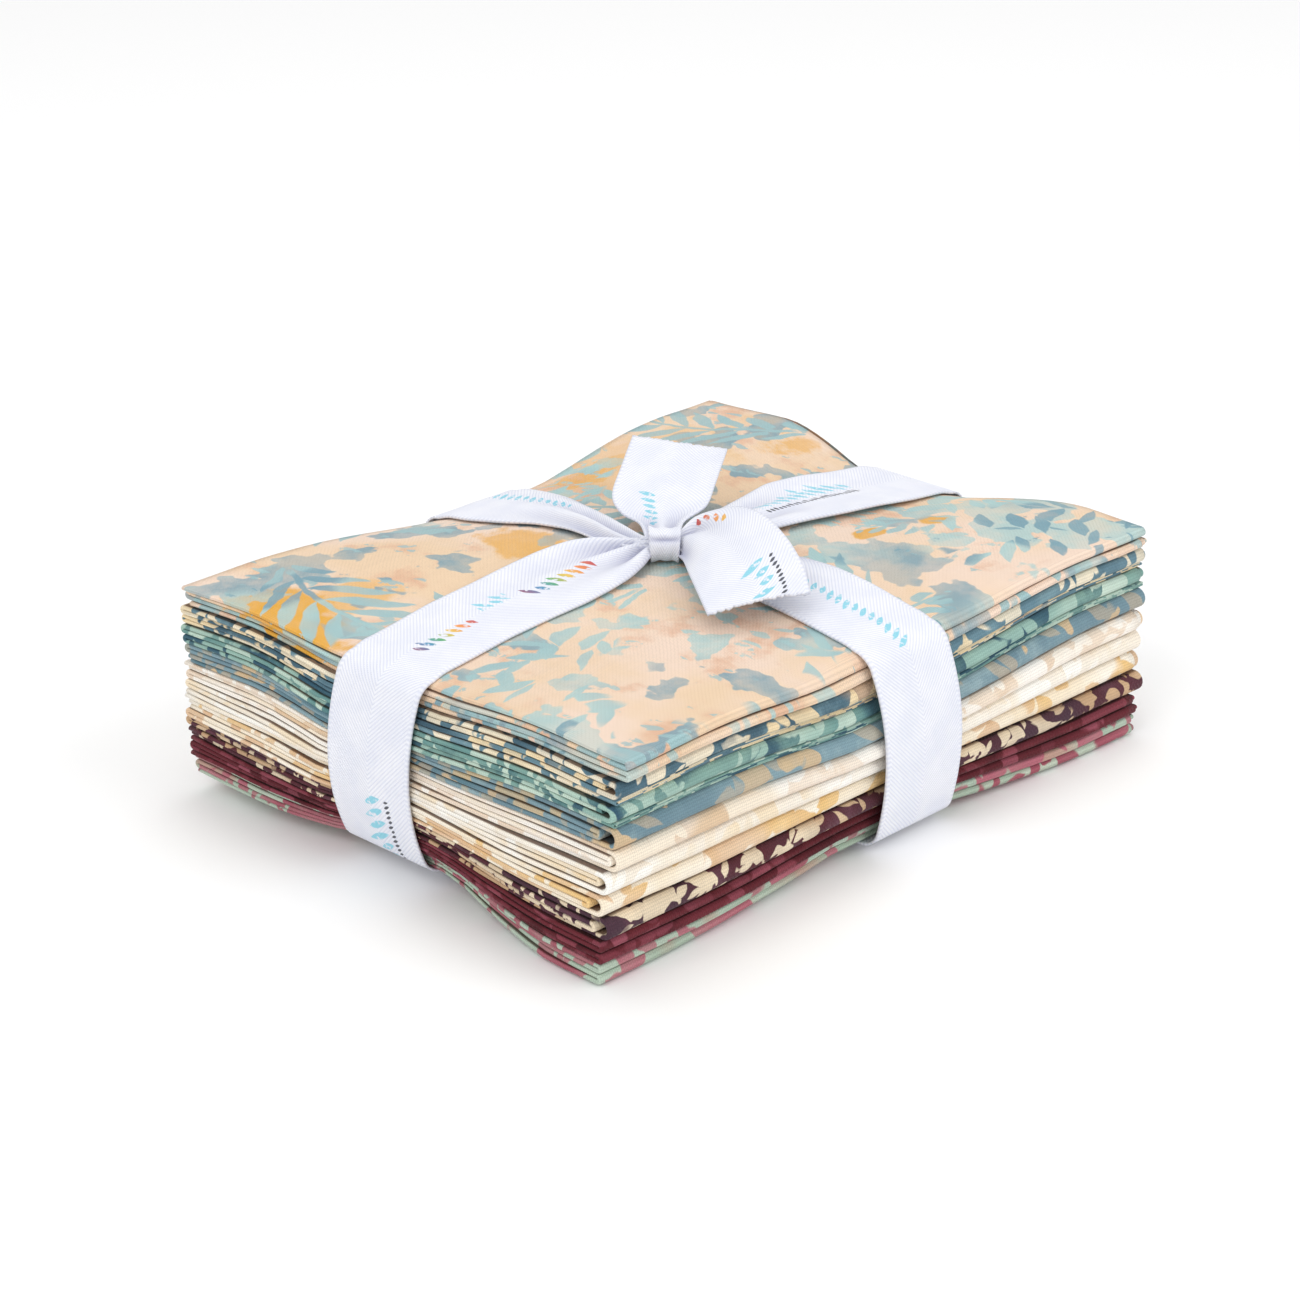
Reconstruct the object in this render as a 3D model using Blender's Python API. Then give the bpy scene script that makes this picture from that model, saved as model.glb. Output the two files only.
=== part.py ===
"""A fat quarter bundle: ten folded cottons in a stack, tied crosswise with one flat ribbon.

Metres, +Z up. The origin is the middle of the stack, on the surface that it lies on. +X runs
along the stack's long side and +Y along its short side, so each cloth's round folds are on its
-Y and +Y sides, and the edges of its layers show on its -X and +X sides.
"""

import math

import bmesh
import bpy
import numpy as np

MM = 0.001

# The stack of cloths
LENGTH = 140.0 * MM
DEPTH = 108.0 * MM
HEIGHT = 41.6 * MM
LAYERS = 4
LAYER_GAP = 0.10 * MM
PIECE_GAP = 0.40 * MM
FREE_END_INSET = 0.5 * MM
ARC_STEPS = 4
WIDE_ARC_STEPS = 6

# A fold is the order in which the cloth takes its four levels, 0 being the top one, and the
# side where its first end lies: -1 for -Y, 1 for +Y. The cloth turns at the other side first.
FOLDS = {
    "book": ((3, 0, 1, 2), 1),
    "book_over": ((0, 3, 2, 1), 1),
    "rolled": ((1, 0, 2, 3), -1),
    "zigzag": ((0, 1, 2, 3), 1),
}

# Top to bottom: the cloth's fold, how far it stands in from each side of the stack in mm, its
# turn about Z in degrees, and its colour.
CLOTH_COLUMNS = ("name", "fold", "in_x0", "in_x1", "in_y0", "in_y1", "turn", "colour")
CLOTHS = [
    ("cloth_01_peach_leaf", "zigzag", 1.2, 0.4, 0.2, 0.8, 1.1, (0.80, 0.62, 0.45)),
    ("cloth_02_slate_cream", "rolled", 0.5, 0.3, 0.7, 0.3, 0.6, (0.17, 0.25, 0.32)),
    ("cloth_03_sea_green", "rolled", 0.2, 0.0, 0.9, 0.6, 0.4, (0.21, 0.38, 0.37)),
    ("cloth_04_blue_grey", "book", 0.6, 0.2, 0.4, 1.0, 0.2, (0.22, 0.33, 0.38)),
    ("cloth_05_blush", "book_over", 0.9, 0.5, 0.1, 0.4, 0.0, (0.83, 0.70, 0.56)),
    ("cloth_06_ivory", "book", 0.4, 0.3, 0.9, 0.2, -0.3, (0.90, 0.85, 0.76)),
    ("cloth_07_golden_leaf", "book_over", 0.1, 0.1, 1.3, 0.7, -0.4, (0.86, 0.74, 0.55)),
    ("cloth_08_plum", "book", 0.5, 0.2, 0.6, 0.3, -0.7, (0.09, 0.04, 0.06)),
    ("cloth_09_maroon", "zigzag", 0.3, 0.6, 1.0, 0.9, -1.0, (0.12, 0.02, 0.02)),
    ("cloth_10_sage_rose", "zigzag", 1.0, 0.9, 1.4, 1.2, -1.2, (0.42, 0.50, 0.40)),
]

# The relief of the stack, whose faces are flat between these stations: the rims, the feet of
# the slopes beside a ribbon, and the edges of the strip that the ribbon presses in. The two
# shares, at the same stations, are how much of the pressing and of the rims' fall they get.
X_STATIONS = np.array([-70.0, -30.0, -13.5, 15.5, 32.0, 70.0]) * MM
Y_STATIONS = np.array([-54.0, -30.0, -12.5, 17.0, 32.0, 54.0]) * MM
PRESSED_SHARES = [0.0, 0.0, 1.0, 1.0, 0.0, 0.0]
RIM_SHARES = [1.0, 0.0, 0.0, 0.0, 0.0, 1.0]
# How deep each run of the ribbon presses in, at the stations that it passes
PRESSED = {
    "top_along_x": np.array([3.4, 1.8, 1.4, 1.4, 1.6, 3.4]) * MM,
    "top_along_y": np.array([4.2, 1.8, 1.4, 1.4, 1.6, 3.4]) * MM,
    "under_along_x": np.array([4.2, 2.2, 2.0, 2.0, 2.1, 3.2]) * MM,
    "under_along_y": np.array([2.0, 2.0, 2.0, 2.0, 2.0, 2.8]) * MM,
}
RIM_FALL = 0.6 * MM
# How high the underside is drawn up at the -X, +Y corner
CURL = 3.2 * MM
# How far the ribbon draws each side in, at the stack's top and at its underside. Between them
# the side bulges out, and it is widest at this height.
DRAWN_IN = {
    "x0": np.array([4.0, 4.2]) * MM,
    "x1": np.array([3.0, 3.0]) * MM,
    "y0": np.array([4.6, 3.0]) * MM,
    "y1": np.array([3.0, 3.0]) * MM,
}
WIDEST_HEIGHT = 20.0 * MM

# The ribbon
RIBBON_COLOUR = (0.88, 0.89, 0.94)
RIBBON_WIDTH = 20.0 * MM
RIBBON_THICKNESS = 1.0 * MM
RIBBON_CLEARANCE = 0.45 * MM
SIDE_CLEARANCE = 0.8 * MM
EDGE_RADIUS = 1.5 * MM
CORNER_STEPS = 3
SIDE_STEPS = 4
# How much lower the run along Y passes where the two cross underneath
CROSSING_STEP = 0.35 * MM
# The runs on top, from their low rim over the knot to their high rim, in mm: the place along
# the run, the middle's place across it, the width, and how far it rises to the knot.
RUN_COLUMNS = ("place", "across", "width", "rise")
TOP_RUNS = {
    "x": np.array([
        (-70.0, 3.0, 20.0, 0.0),
        (-50.0, 4.6, 20.0, 0.0),
        (-30.0, 5.6, 20.0, 0.0),
        (-17.0, 5.2, 17.5, 0.2),
        (-11.0, 3.0, 12.0, 0.9),
        (-7.0, 0.6, 7.0, 1.6),
        (0.0, -1.0, 6.0, 1.8),
        (8.0, -0.4, 8.0, 1.0),
        (18.0, 0.5, 12.0, 0.3),
        (28.0, 0.7, 16.0, 0.0),
        (38.0, 0.6, 20.0, 0.0),
        (52.0, 0.0, 20.0, 0.0),
        (70.0, -1.0, 20.0, 0.0),
    ]) * MM,
    "y": np.array([
        (-54.0, 4.4, 20.0, 0.0),
        (-30.0, 4.0, 20.0, 0.0),
        (-17.0, 2.6, 17.0, 0.2),
        (-10.0, -0.4, 11.0, 0.9),
        (-5.0, -2.8, 6.5, 1.7),
        (3.0, -3.2, 6.0, 1.8),
        (11.0, -1.6, 8.0, 0.9),
        (20.0, -0.9, 9.5, 0.3),
        (29.0, -1.0, 13.0, 0.0),
        (41.0, -2.0, 20.0, 0.0),
        (54.0, -1.3, 20.0, 0.0),
    ]) * MM,
}
# Stations of a run underneath, as shares of the way to a rim
UNDER_STATIONS = np.array([1.0, 0.44, 0.16, -0.16, -0.44, -1.0])

# The knot, a squashed ball
KNOT_AT = np.array([-3.5, -1.0]) * MM
KNOT_RADII = np.array([3.5, 3.2, 2.7]) * MM
KNOT_TURN = math.radians(-46)
KNOT_CLEARANCE = 0.8 * MM

# The two free ends: rows from the knot to the cut end, each the ribbon's left edge and its
# right edge, in mm. The first stands up behind the knot. The second arches over and comes down
# on the band that runs to -Y.
FREE_ENDS = {
    "end_behind": [
        ((-4.0, 3.0, 43.0), (0.5, -1.0, 43.2)),
        ((0.3, 9.0, 43.4), (6.3, 3.2, 43.6)),
        ((0.9, 14.0, 44.2), (12.6, 4.0, 45.0)),
        ((3.4, 18.8, 45.8), (18.4, 7.2, 46.8)),
        ((11.9, 24.6, 48.0), (22.4, 9.4, 48.7)),
        ((20.3, 30.0, 50.2), (26.4, 11.6, 50.5)),
    ],
    "end_before": [
        ((-5.0, -2.0, 42.8), (-1.0, 1.0, 43.6)),
        ((-6.0, -7.0, 43.4), (7.2, 0.0, 46.4)),
        ((-9.3, -11.6, 43.9), (9.0, -6.4, 48.6)),
        ((-13.5, -16.8, 44.2), (7.4, -14.5, 49.5)),
        ((-17.2, -21.7, 44.1), (3.4, -23.5, 48.8)),
        ((-20.0, -25.6, 43.8), (-0.2, -30.6, 46.5)),
        ((-22.2, -28.8, 43.4), (-4.8, -36.4, 44.4)),
    ],
}


def pressed_share(place, stations):
    """1 under a ribbon, and 0 from the feet of the slopes beside it."""
    return np.interp(place, stations, PRESSED_SHARES)


def relief(x, y):
    """Heights of the stack's underside and of its top at x, y."""
    across_x, across_y = pressed_share(x, X_STATIONS), pressed_share(y, Y_STATIONS)
    top = np.maximum(
        np.interp(x, X_STATIONS, PRESSED["top_along_x"]) * across_y,
        np.interp(y, Y_STATIONS, PRESSED["top_along_y"]) * across_x,
    )
    under = np.maximum(
        np.interp(x, X_STATIONS, PRESSED["under_along_x"]) * across_y,
        np.interp(y, Y_STATIONS, PRESSED["under_along_y"]) * across_x,
    )
    rim = np.interp(x, X_STATIONS, RIM_SHARES) + np.interp(y, Y_STATIONS, RIM_SHARES)
    corner = np.interp(x, X_STATIONS[:2], [1.0, 0.0]) * np.interp(y, Y_STATIONS[2:4], [0.0, 1.0])
    return np.maximum(under, CURL * corner), HEIGHT - top - RIM_FALL * rim


def warped(x, y, height):
    """A height in the flat stack, moved to where the relief takes it."""
    low, high = relief(x, y)
    return low + (high - low) * height / HEIGHT


def drawn_in(side, height):
    """How far one side of the stack is drawn in under the ribbon, at a height in the flat stack."""
    at_top, at_underside = DRAWN_IN[side]
    above = np.clip((height - WIDEST_HEIGHT) / (HEIGHT - WIDEST_HEIGHT), 0.0, 1.0)
    below = np.clip((WIDEST_HEIGHT - height) / WIDEST_HEIGHT, 0.0, 1.0)
    return at_top * above**2 + at_underside * below**2


def piece_thickness():
    """Thickness of one folded cloth and of one of its layers."""
    whole = (HEIGHT - PIECE_GAP * (len(CLOTHS) - 1)) / len(CLOTHS)
    return whole, (whole - LAYER_GAP * (LAYERS - 1)) / LAYERS


def turn_arc(side, reach, centre, radius, heading, steps):
    """Points and normals of one turn, a half circle that bulges to its side."""
    angle = np.linspace(0.0, math.pi, steps + 1)
    down = math.copysign(1.0, radius)
    outward = np.stack([side * np.sin(angle), down * np.cos(angle)], -1)
    points = np.array([side * reach, centre]) + outward * abs(radius)
    return points, outward * down * heading


def fold_line(order, first_side):
    """The middle line of a folded cloth across Y, with its normals.

    Heights count from the cloth's underside. A level is a straight run with a point at each
    station of the relief. A turn is a half circle. All turns of one side share their centre
    line, so that a wide turn lies evenly round what it holds.
    """
    whole, thick = piece_thickness()
    pitch = thick + LAYER_GAP
    heights = [whole - thick / 2 - level * pitch for level in order]
    sides = [-first_side * (-1) ** i for i in range(LAYERS - 1)]
    centres = [(a + b) / 2 for a, b in zip(heights, heights[1:])]
    radii = [(a - b) / 2 for a, b in zip(heights, heights[1:])]
    reach = {}
    for side in (-1, 1):
        widest = max([abs(r) for s, r in zip(sides, radii) if s == side], default=0.0)
        reach[side] = DEPTH / 2 - thick / 2 - widest

    def free_end(side, height):
        held = [abs(height - c) < abs(r) for s, c, r in zip(sides, centres, radii) if s == side]
        return side * (reach[side] if any(held) else DEPTH / 2 - FREE_END_INSET)

    points, normals = [], []
    for level, height in enumerate(heights):
        heading = -first_side * (-1) ** level
        run = list(Y_STATIONS[1:-1][::heading])
        if level == 0:
            run.insert(0, free_end(-heading, height))
        if level == LAYERS - 1:
            run.append(free_end(heading, height))
        points.append([(y, height) for y in run])
        normals.append([(0.0, heading)] * len(run))
        if level < LAYERS - 1:
            steps = WIDE_ARC_STEPS if abs(radii[level]) > pitch else ARC_STEPS
            side = sides[level]
            arc = turn_arc(side, reach[side], centres[level], radii[level], heading, steps)
            points.append(arc[0])
            normals.append(arc[1])
    return np.concatenate(points), np.concatenate(normals), thick


def loft_faces(rows, columns, other_diagonal):
    """Triangles between the rows of a loft whose columns close on themselves.

    other_diagonal says, for each column, whether its faces are split the other way.
    """
    row, column = np.meshgrid(np.arange(rows - 1), np.arange(columns), indexing="ij")
    after = (column + 1) % columns
    a, b = row * columns + column, row * columns + after
    c, d = b + columns, a + columns
    other = other_diagonal[column][..., None]
    first = np.where(other, np.stack([a, b, d], -1), np.stack([a, b, c], -1))
    second = np.where(other, np.stack([b, c, d], -1), np.stack([a, c, d], -1))
    return np.concatenate([first.reshape(-1, 3), second.reshape(-1, 3)]).tolist()


def end_faces(first, half):
    """Quads across the end of a folded section, whose outline runs out and back again."""
    k = np.arange(half - 1)
    back = first + 2 * half - 1 - k
    return np.stack([first + k, first + k + 1, back - 1, back], -1).tolist()


def solid_object(name, points, faces, colour, collection, roughness):
    """A closed mesh with its faces turned outwards, and its material, as one object."""
    mesh = bpy.data.meshes.new(name)
    mesh.from_pydata(points.tolist(), [], faces)
    shell = bmesh.new()
    shell.from_mesh(mesh)
    bmesh.ops.recalc_face_normals(shell, faces=shell.faces)
    shell.to_mesh(mesh)
    shell.free()
    mesh.shade_smooth()
    mesh.set_sharp_from_angle(angle=math.radians(50))
    material = bpy.data.materials.new(name)
    material.use_nodes = True
    shader = material.node_tree.nodes["Principled BSDF"]
    shader.inputs["Base Color"].default_value = (*colour, 1.0)
    shader.inputs["Roughness"].default_value = roughness
    shader.inputs["Metallic"].default_value = 0.0
    mesh.materials.append(material)
    made = bpy.data.objects.new(name, mesh)
    collection.objects.link(made)
    return made


def folded_cloth(row, underside, collection):
    """One cloth: its back-and-forth section, lofted along X over the stack's relief."""
    cloth = dict(zip(CLOTH_COLUMNS, row))
    line, normals, thick = fold_line(*FOLDS[cloth["fold"]])
    offset = normals * thick / 2
    outline = np.concatenate([line + offset, (line - offset)[::-1]])
    across, height = outline[:, 0], outline[:, 1] + underside
    near, far = across < Y_STATIONS[1] - MM, across > Y_STATIONS[4] + MM
    inset = np.where(near, cloth["in_y0"] * MM, np.where(far, -cloth["in_y1"] * MM, 0.0))
    drawn = np.where(near, drawn_in("y0", height), np.where(far, -drawn_in("y1", height), 0.0))
    turn = math.radians(cloth["turn"])
    rows = []
    for station in X_STATIONS:
        pull = drawn * pressed_share(station, X_STATIONS)
        y = across + inset + pull + np.where(near | far, turn * station, 0.0)
        x = np.full(len(y), station)
        if station == X_STATIONS[0]:
            pull = drawn_in("x0", height) * pressed_share(y, Y_STATIONS)
            x += cloth["in_x0"] * MM + pull - turn * y
        elif station == X_STATIONS[-1]:
            pull = drawn_in("x1", height) * pressed_share(y, Y_STATIONS)
            x -= cloth["in_x1"] * MM + pull + turn * y
        rows.append(np.stack([x, y, warped(x, y, height)], -1))
    points = np.concatenate(rows)
    count = len(across)
    # Faces that run back along Y are split the other way, so that the layers stay parallel.
    faces = loft_faces(len(rows), count, np.roll(across, -1) < across)
    faces += end_faces(0, count // 2)
    faces += end_faces(len(points) - count, count // 2)
    return solid_object(cloth["name"], points, faces, cloth["colour"], collection, 0.9)


def ribbon_strip(name, left, right, closed, collection):
    """A strip of ribbon between its two edge lines, which lie in the middle of its thickness."""
    left, right = np.array(left), np.array(right)
    middle = (left + right) / 2
    if closed:
        run = np.roll(middle, -1, axis=0) - np.roll(middle, 1, axis=0)
    else:
        run = np.gradient(middle, axis=0)
    normal = np.cross(run, right - left)
    normal = normal / np.linalg.norm(normal, axis=1)[:, None] * RIBBON_THICKNESS / 2
    corners = [left + normal, right + normal, right - normal, left - normal]
    points = np.stack(corners, 1).reshape(-1, 3)
    one_way = np.zeros(len(corners), bool)
    if closed:
        faces = np.array(loft_faces(len(left) + 1, len(corners), one_way)) % len(points)
        faces = faces.tolist()
    else:
        faces = loft_faces(len(left), len(corners), one_way)
        last = len(points) - 1
        faces += [[3, 2, 1, 0], [last - 3, last - 2, last - 1, last]]
    return solid_object(name, points, faces, RIBBON_COLOUR, collection, 0.75)


def ribbon_side(side, name, flat, z_top, z_low):
    """The ribbon's middle line down one side of the stack, with its two rounded corners.

    It is worked out as if the side were upright, and then drawn in as the stack's side is.
    """
    angles = np.linspace(0.0, math.pi / 2, CORNER_STEPS + 1)[1:]
    out = flat + EDGE_RADIUS * np.sin(angles)
    drop = EDGE_RADIUS * (1 - np.cos(angles))
    upright = np.linspace(z_top - EDGE_RADIUS, z_low + EDGE_RADIUS, SIDE_STEPS + 1)[1:-1]
    along = np.concatenate([out, np.full(len(upright), flat + EDGE_RADIUS), out[::-1]])
    heights = np.concatenate([z_top - drop, upright, z_low + drop[::-1]])
    along = along - drawn_in(name, (heights - z_low) / (z_top - z_low) * HEIGHT)
    line = list(zip(side * along, heights))
    return line if side > 0 else line[::-1]


def ribbon_round(name, along_x, collection):
    """The ribbon's way round the stack along X or along Y, a closed strip."""
    half = (LENGTH if along_x else DEPTH) / 2 + SIDE_CLEARANCE + RIBBON_THICKNESS / 2
    flat = half - EDGE_RADIUS
    low_side, high_side = ("x0", "x1") if along_x else ("y0", "y1")
    top = dict(zip(RUN_COLUMNS, TOP_RUNS["x" if along_x else "y"].T))
    low_rim, high_rim = DRAWN_IN[low_side] - flat, flat - DRAWN_IN[high_side]
    lift = RIBBON_CLEARANCE + RIBBON_THICKNESS / 2

    def stack_heights(s, across):
        return relief(s, across) if along_x else relief(across, s)

    tops = np.concatenate([[low_rim[0]], top["place"][1:-1], [high_rim[0]]])
    top_z = stack_heights(tops, top["across"])[1] + lift + top["rise"]
    under = UNDER_STATIONS * flat
    under[[0, -1]] = high_rim[1], low_rim[1]
    under_across = np.interp(under, top["place"][[0, -1]], top["across"][[0, -1]])
    step_down = np.where(np.abs(UNDER_STATIONS) < 1.0, 0.0 if along_x else CROSSING_STEP, 0.0)
    under_z = stack_heights(under, under_across)[0] - lift - step_down
    stations = list(zip(tops, top["across"], top_z, top["width"]))
    high = ribbon_side(1, high_side, flat, top_z[-1], under_z[0])[:-1]
    stations += [(s, top["across"][-1], z, RIBBON_WIDTH) for s, z in high]
    stations += [(s, across, z, RIBBON_WIDTH) for s, across, z in zip(under, under_across, under_z)]
    low = ribbon_side(-1, low_side, flat, top_z[0], under_z[-1])[1:]
    stations += [(s, top["across"][0], z, RIBBON_WIDTH) for s, z in low]
    left, right = [], []
    for s, across, z, width in stations:
        for edge, side_line in ((width / 2, left), (-width / 2, right)):
            if along_x:
                side_line.append((s, across + edge, z))
            else:
                side_line.append((across - edge, s, z))
    return ribbon_strip(name, left, right, True, collection)


def knot(collection):
    """The knot, a squashed ball just clear of the cloth."""
    shell = bmesh.new()
    bmesh.ops.create_uvsphere(shell, u_segments=12, v_segments=8, radius=1.0)
    bmesh.ops.scale(shell, vec=KNOT_RADII, verts=shell.verts)
    mesh = bpy.data.meshes.new("knot")
    shell.to_mesh(mesh)
    shell.free()
    made = bpy.data.objects.new("knot", mesh)
    top = float(relief(*KNOT_AT)[1])
    made.location = (*KNOT_AT, top + KNOT_CLEARANCE + KNOT_RADII[2])
    made.rotation_euler = (0.0, 0.0, KNOT_TURN)
    collection.objects.link(made)
    return made


def ribbon(collection, helpers):
    """The ribbon, one cut length: its two ways round the stack, the knot and its free ends."""
    body = ribbon_round("ribbon", True, collection)
    joined = [ribbon_round("way_along_y", False, helpers), knot(helpers)]
    for name, rows in FREE_ENDS.items():
        edges = np.array(rows) * MM
        joined.append(ribbon_strip(name, edges[:, 0], edges[:, 1], False, helpers))
    for other in joined:
        other.hide_render = True
        other.display_type = "WIRE"
        union = body.modifiers.new("join_" + other.name, "BOOLEAN")
        union.operation = "UNION"
        union.solver = "EXACT"
        union.object = other
    return body


def main():
    for old in list(bpy.data.objects):
        bpy.data.objects.remove(old, do_unlink=True)
    bundle = bpy.data.collections.new("fat_quarter_bundle")
    helpers = bpy.data.collections.new("joined_shapes")
    bpy.context.scene.collection.children.link(bundle)
    bpy.context.scene.collection.children.link(helpers)
    stack = bpy.data.objects.new("stack", None)
    bundle.objects.link(stack)
    whole, _ = piece_thickness()
    for place, row in enumerate(CLOTHS):
        underside = HEIGHT - whole - place * (whole + PIECE_GAP)
        folded_cloth(row, underside, bundle).parent = stack
    ribbon(bundle, helpers).parent = stack


if __name__ == "__main__":
    main()
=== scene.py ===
"""The looks of a fat quarter bundle: ten folded batik cottons, tied crosswise with a white ribbon.

Each cloth is one thin sheet that is folded twice, as a fat quarter is: once into a book of four
plies along X, and then into four layers along Y. The ribbon is woven in a herringbone, and its
strips follow the relief that it presses into the stack. Sizes are in metres unless a name or a
comment says millimetres.
"""

from __future__ import annotations

import logging
import math
from dataclasses import dataclass
from enum import Enum

import bpy
import numpy as np
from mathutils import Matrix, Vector

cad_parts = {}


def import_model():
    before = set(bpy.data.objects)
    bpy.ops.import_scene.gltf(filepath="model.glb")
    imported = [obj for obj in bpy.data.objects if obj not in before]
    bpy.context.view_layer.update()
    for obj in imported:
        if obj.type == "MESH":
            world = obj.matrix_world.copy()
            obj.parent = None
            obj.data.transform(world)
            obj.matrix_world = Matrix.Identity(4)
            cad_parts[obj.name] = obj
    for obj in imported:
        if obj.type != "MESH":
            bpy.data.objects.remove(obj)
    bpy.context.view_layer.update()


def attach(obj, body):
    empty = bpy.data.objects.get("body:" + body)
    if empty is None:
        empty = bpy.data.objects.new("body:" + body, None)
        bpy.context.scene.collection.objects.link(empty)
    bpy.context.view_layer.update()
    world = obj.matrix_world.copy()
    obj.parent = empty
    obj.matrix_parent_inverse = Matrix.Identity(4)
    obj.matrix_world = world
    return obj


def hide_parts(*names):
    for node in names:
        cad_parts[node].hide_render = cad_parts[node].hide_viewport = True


MM = 0.001
log = logging.getLogger("fat_quarter_bundle")


def smooth_step(share: np.ndarray) -> np.ndarray:
    """0 to 1 with level ends, from a share that is held between 0 and 1."""
    share = np.clip(share, 0.0, 1.0)
    return share * share * (3 - 2 * share)


def ripple(rng: np.random.Generator, places: np.ndarray, longest: float, waves: int = 4) -> np.ndarray:
    """A smooth random line about -1 to 1: sine waves of ever shorter length and smaller size.

    Args:
        rng: The source of the waves' phases.
        places: Where the line is read, in metres.
        longest: The longest wave, in metres.
        waves: How many waves are added, each about half as long and as tall as the last.

    Returns:
        The line's value at each place.
    """
    total = np.zeros_like(places)
    for k in range(waves):
        length = longest / (1.9**k) * rng.uniform(0.85, 1.15)
        total = total + 0.55**k * np.sin(2 * math.pi * (places / length + rng.uniform()))
    return total / 1.6


@dataclass
class Grid:
    """One open grid: its points, its flat places on the cloth, and how open each point lies, which sets its
    painted shade.
    """

    points: np.ndarray
    flat: np.ndarray
    unshaded_share: np.ndarray | None = None


def mesh_piece(name: str, grids: list[Grid]) -> bpy.types.Object:
    """One object made of several open grids.

    Args:
        name: The object's name.
        grids: The grids, rows by columns.

    Returns:
        The object, linked to the scene, at the origin. Its UV map "cloth" is in metres of cloth,
        and its attribute "open" is 1 where nothing lies on it; below 1 it darkens the colour with painted
        shade.
    """
    points, flats, unshaded_shares, faces, first = [], [], [], [], 0
    for grid in grids:
        rows, columns = grid.points.shape[:2]
        corner = first + np.arange(rows - 1)[:, None] * columns + np.arange(columns - 1)
        quads = np.stack([corner, corner + 1, corner + columns + 1, corner + columns], -1)
        points.append(grid.points.reshape(-1, 3))
        flats.append(grid.flat.reshape(-1, 2))
        shares = np.ones((rows, columns)) if grid.unshaded_share is None else grid.unshaded_share
        unshaded_shares.append(shares.ravel())
        faces.append(quads.reshape(-1, 4))
        first += rows * columns
    points, flats, unshaded_shares, faces = (np.concatenate(part) for part in (points, flats, unshaded_shares, faces))
    mesh = bpy.data.meshes.new(name)
    mesh.vertices.add(len(points))
    mesh.vertices.foreach_set("co", points.astype(np.float32).ravel())
    mesh.loops.add(faces.size)
    mesh.loops.foreach_set("vertex_index", faces.astype(np.int32).ravel())
    mesh.polygons.add(len(faces))
    mesh.polygons.foreach_set("loop_start", np.arange(0, faces.size, 4, dtype=np.int32))
    mesh.update(calc_edges=True)
    mesh.uv_layers.new(name="cloth")
    mesh.uv_layers["cloth"].data.foreach_set("uv", flats[faces.ravel()].astype(np.float32).ravel())
    # the attribute "open" sets the painted shade: below 1 the materials darken the colour
    mesh.attributes.new("open", "FLOAT", "POINT")
    mesh.attributes["open"].data.foreach_set("value", unshaded_shares.astype(np.float32))
    mesh.shade_smooth()
    mesh.validate()
    piece = bpy.data.objects.new(name, mesh)
    bpy.context.scene.collection.objects.link(piece)
    return piece


def thicken(piece: bpy.types.Object, thickness: float) -> None:
    """Gives a sheet its thickness, half to each side."""
    solidify = piece.modifiers.new("thickness", "SOLIDIFY")
    solidify.thickness = thickness
    solidify.offset = 0.0


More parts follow.
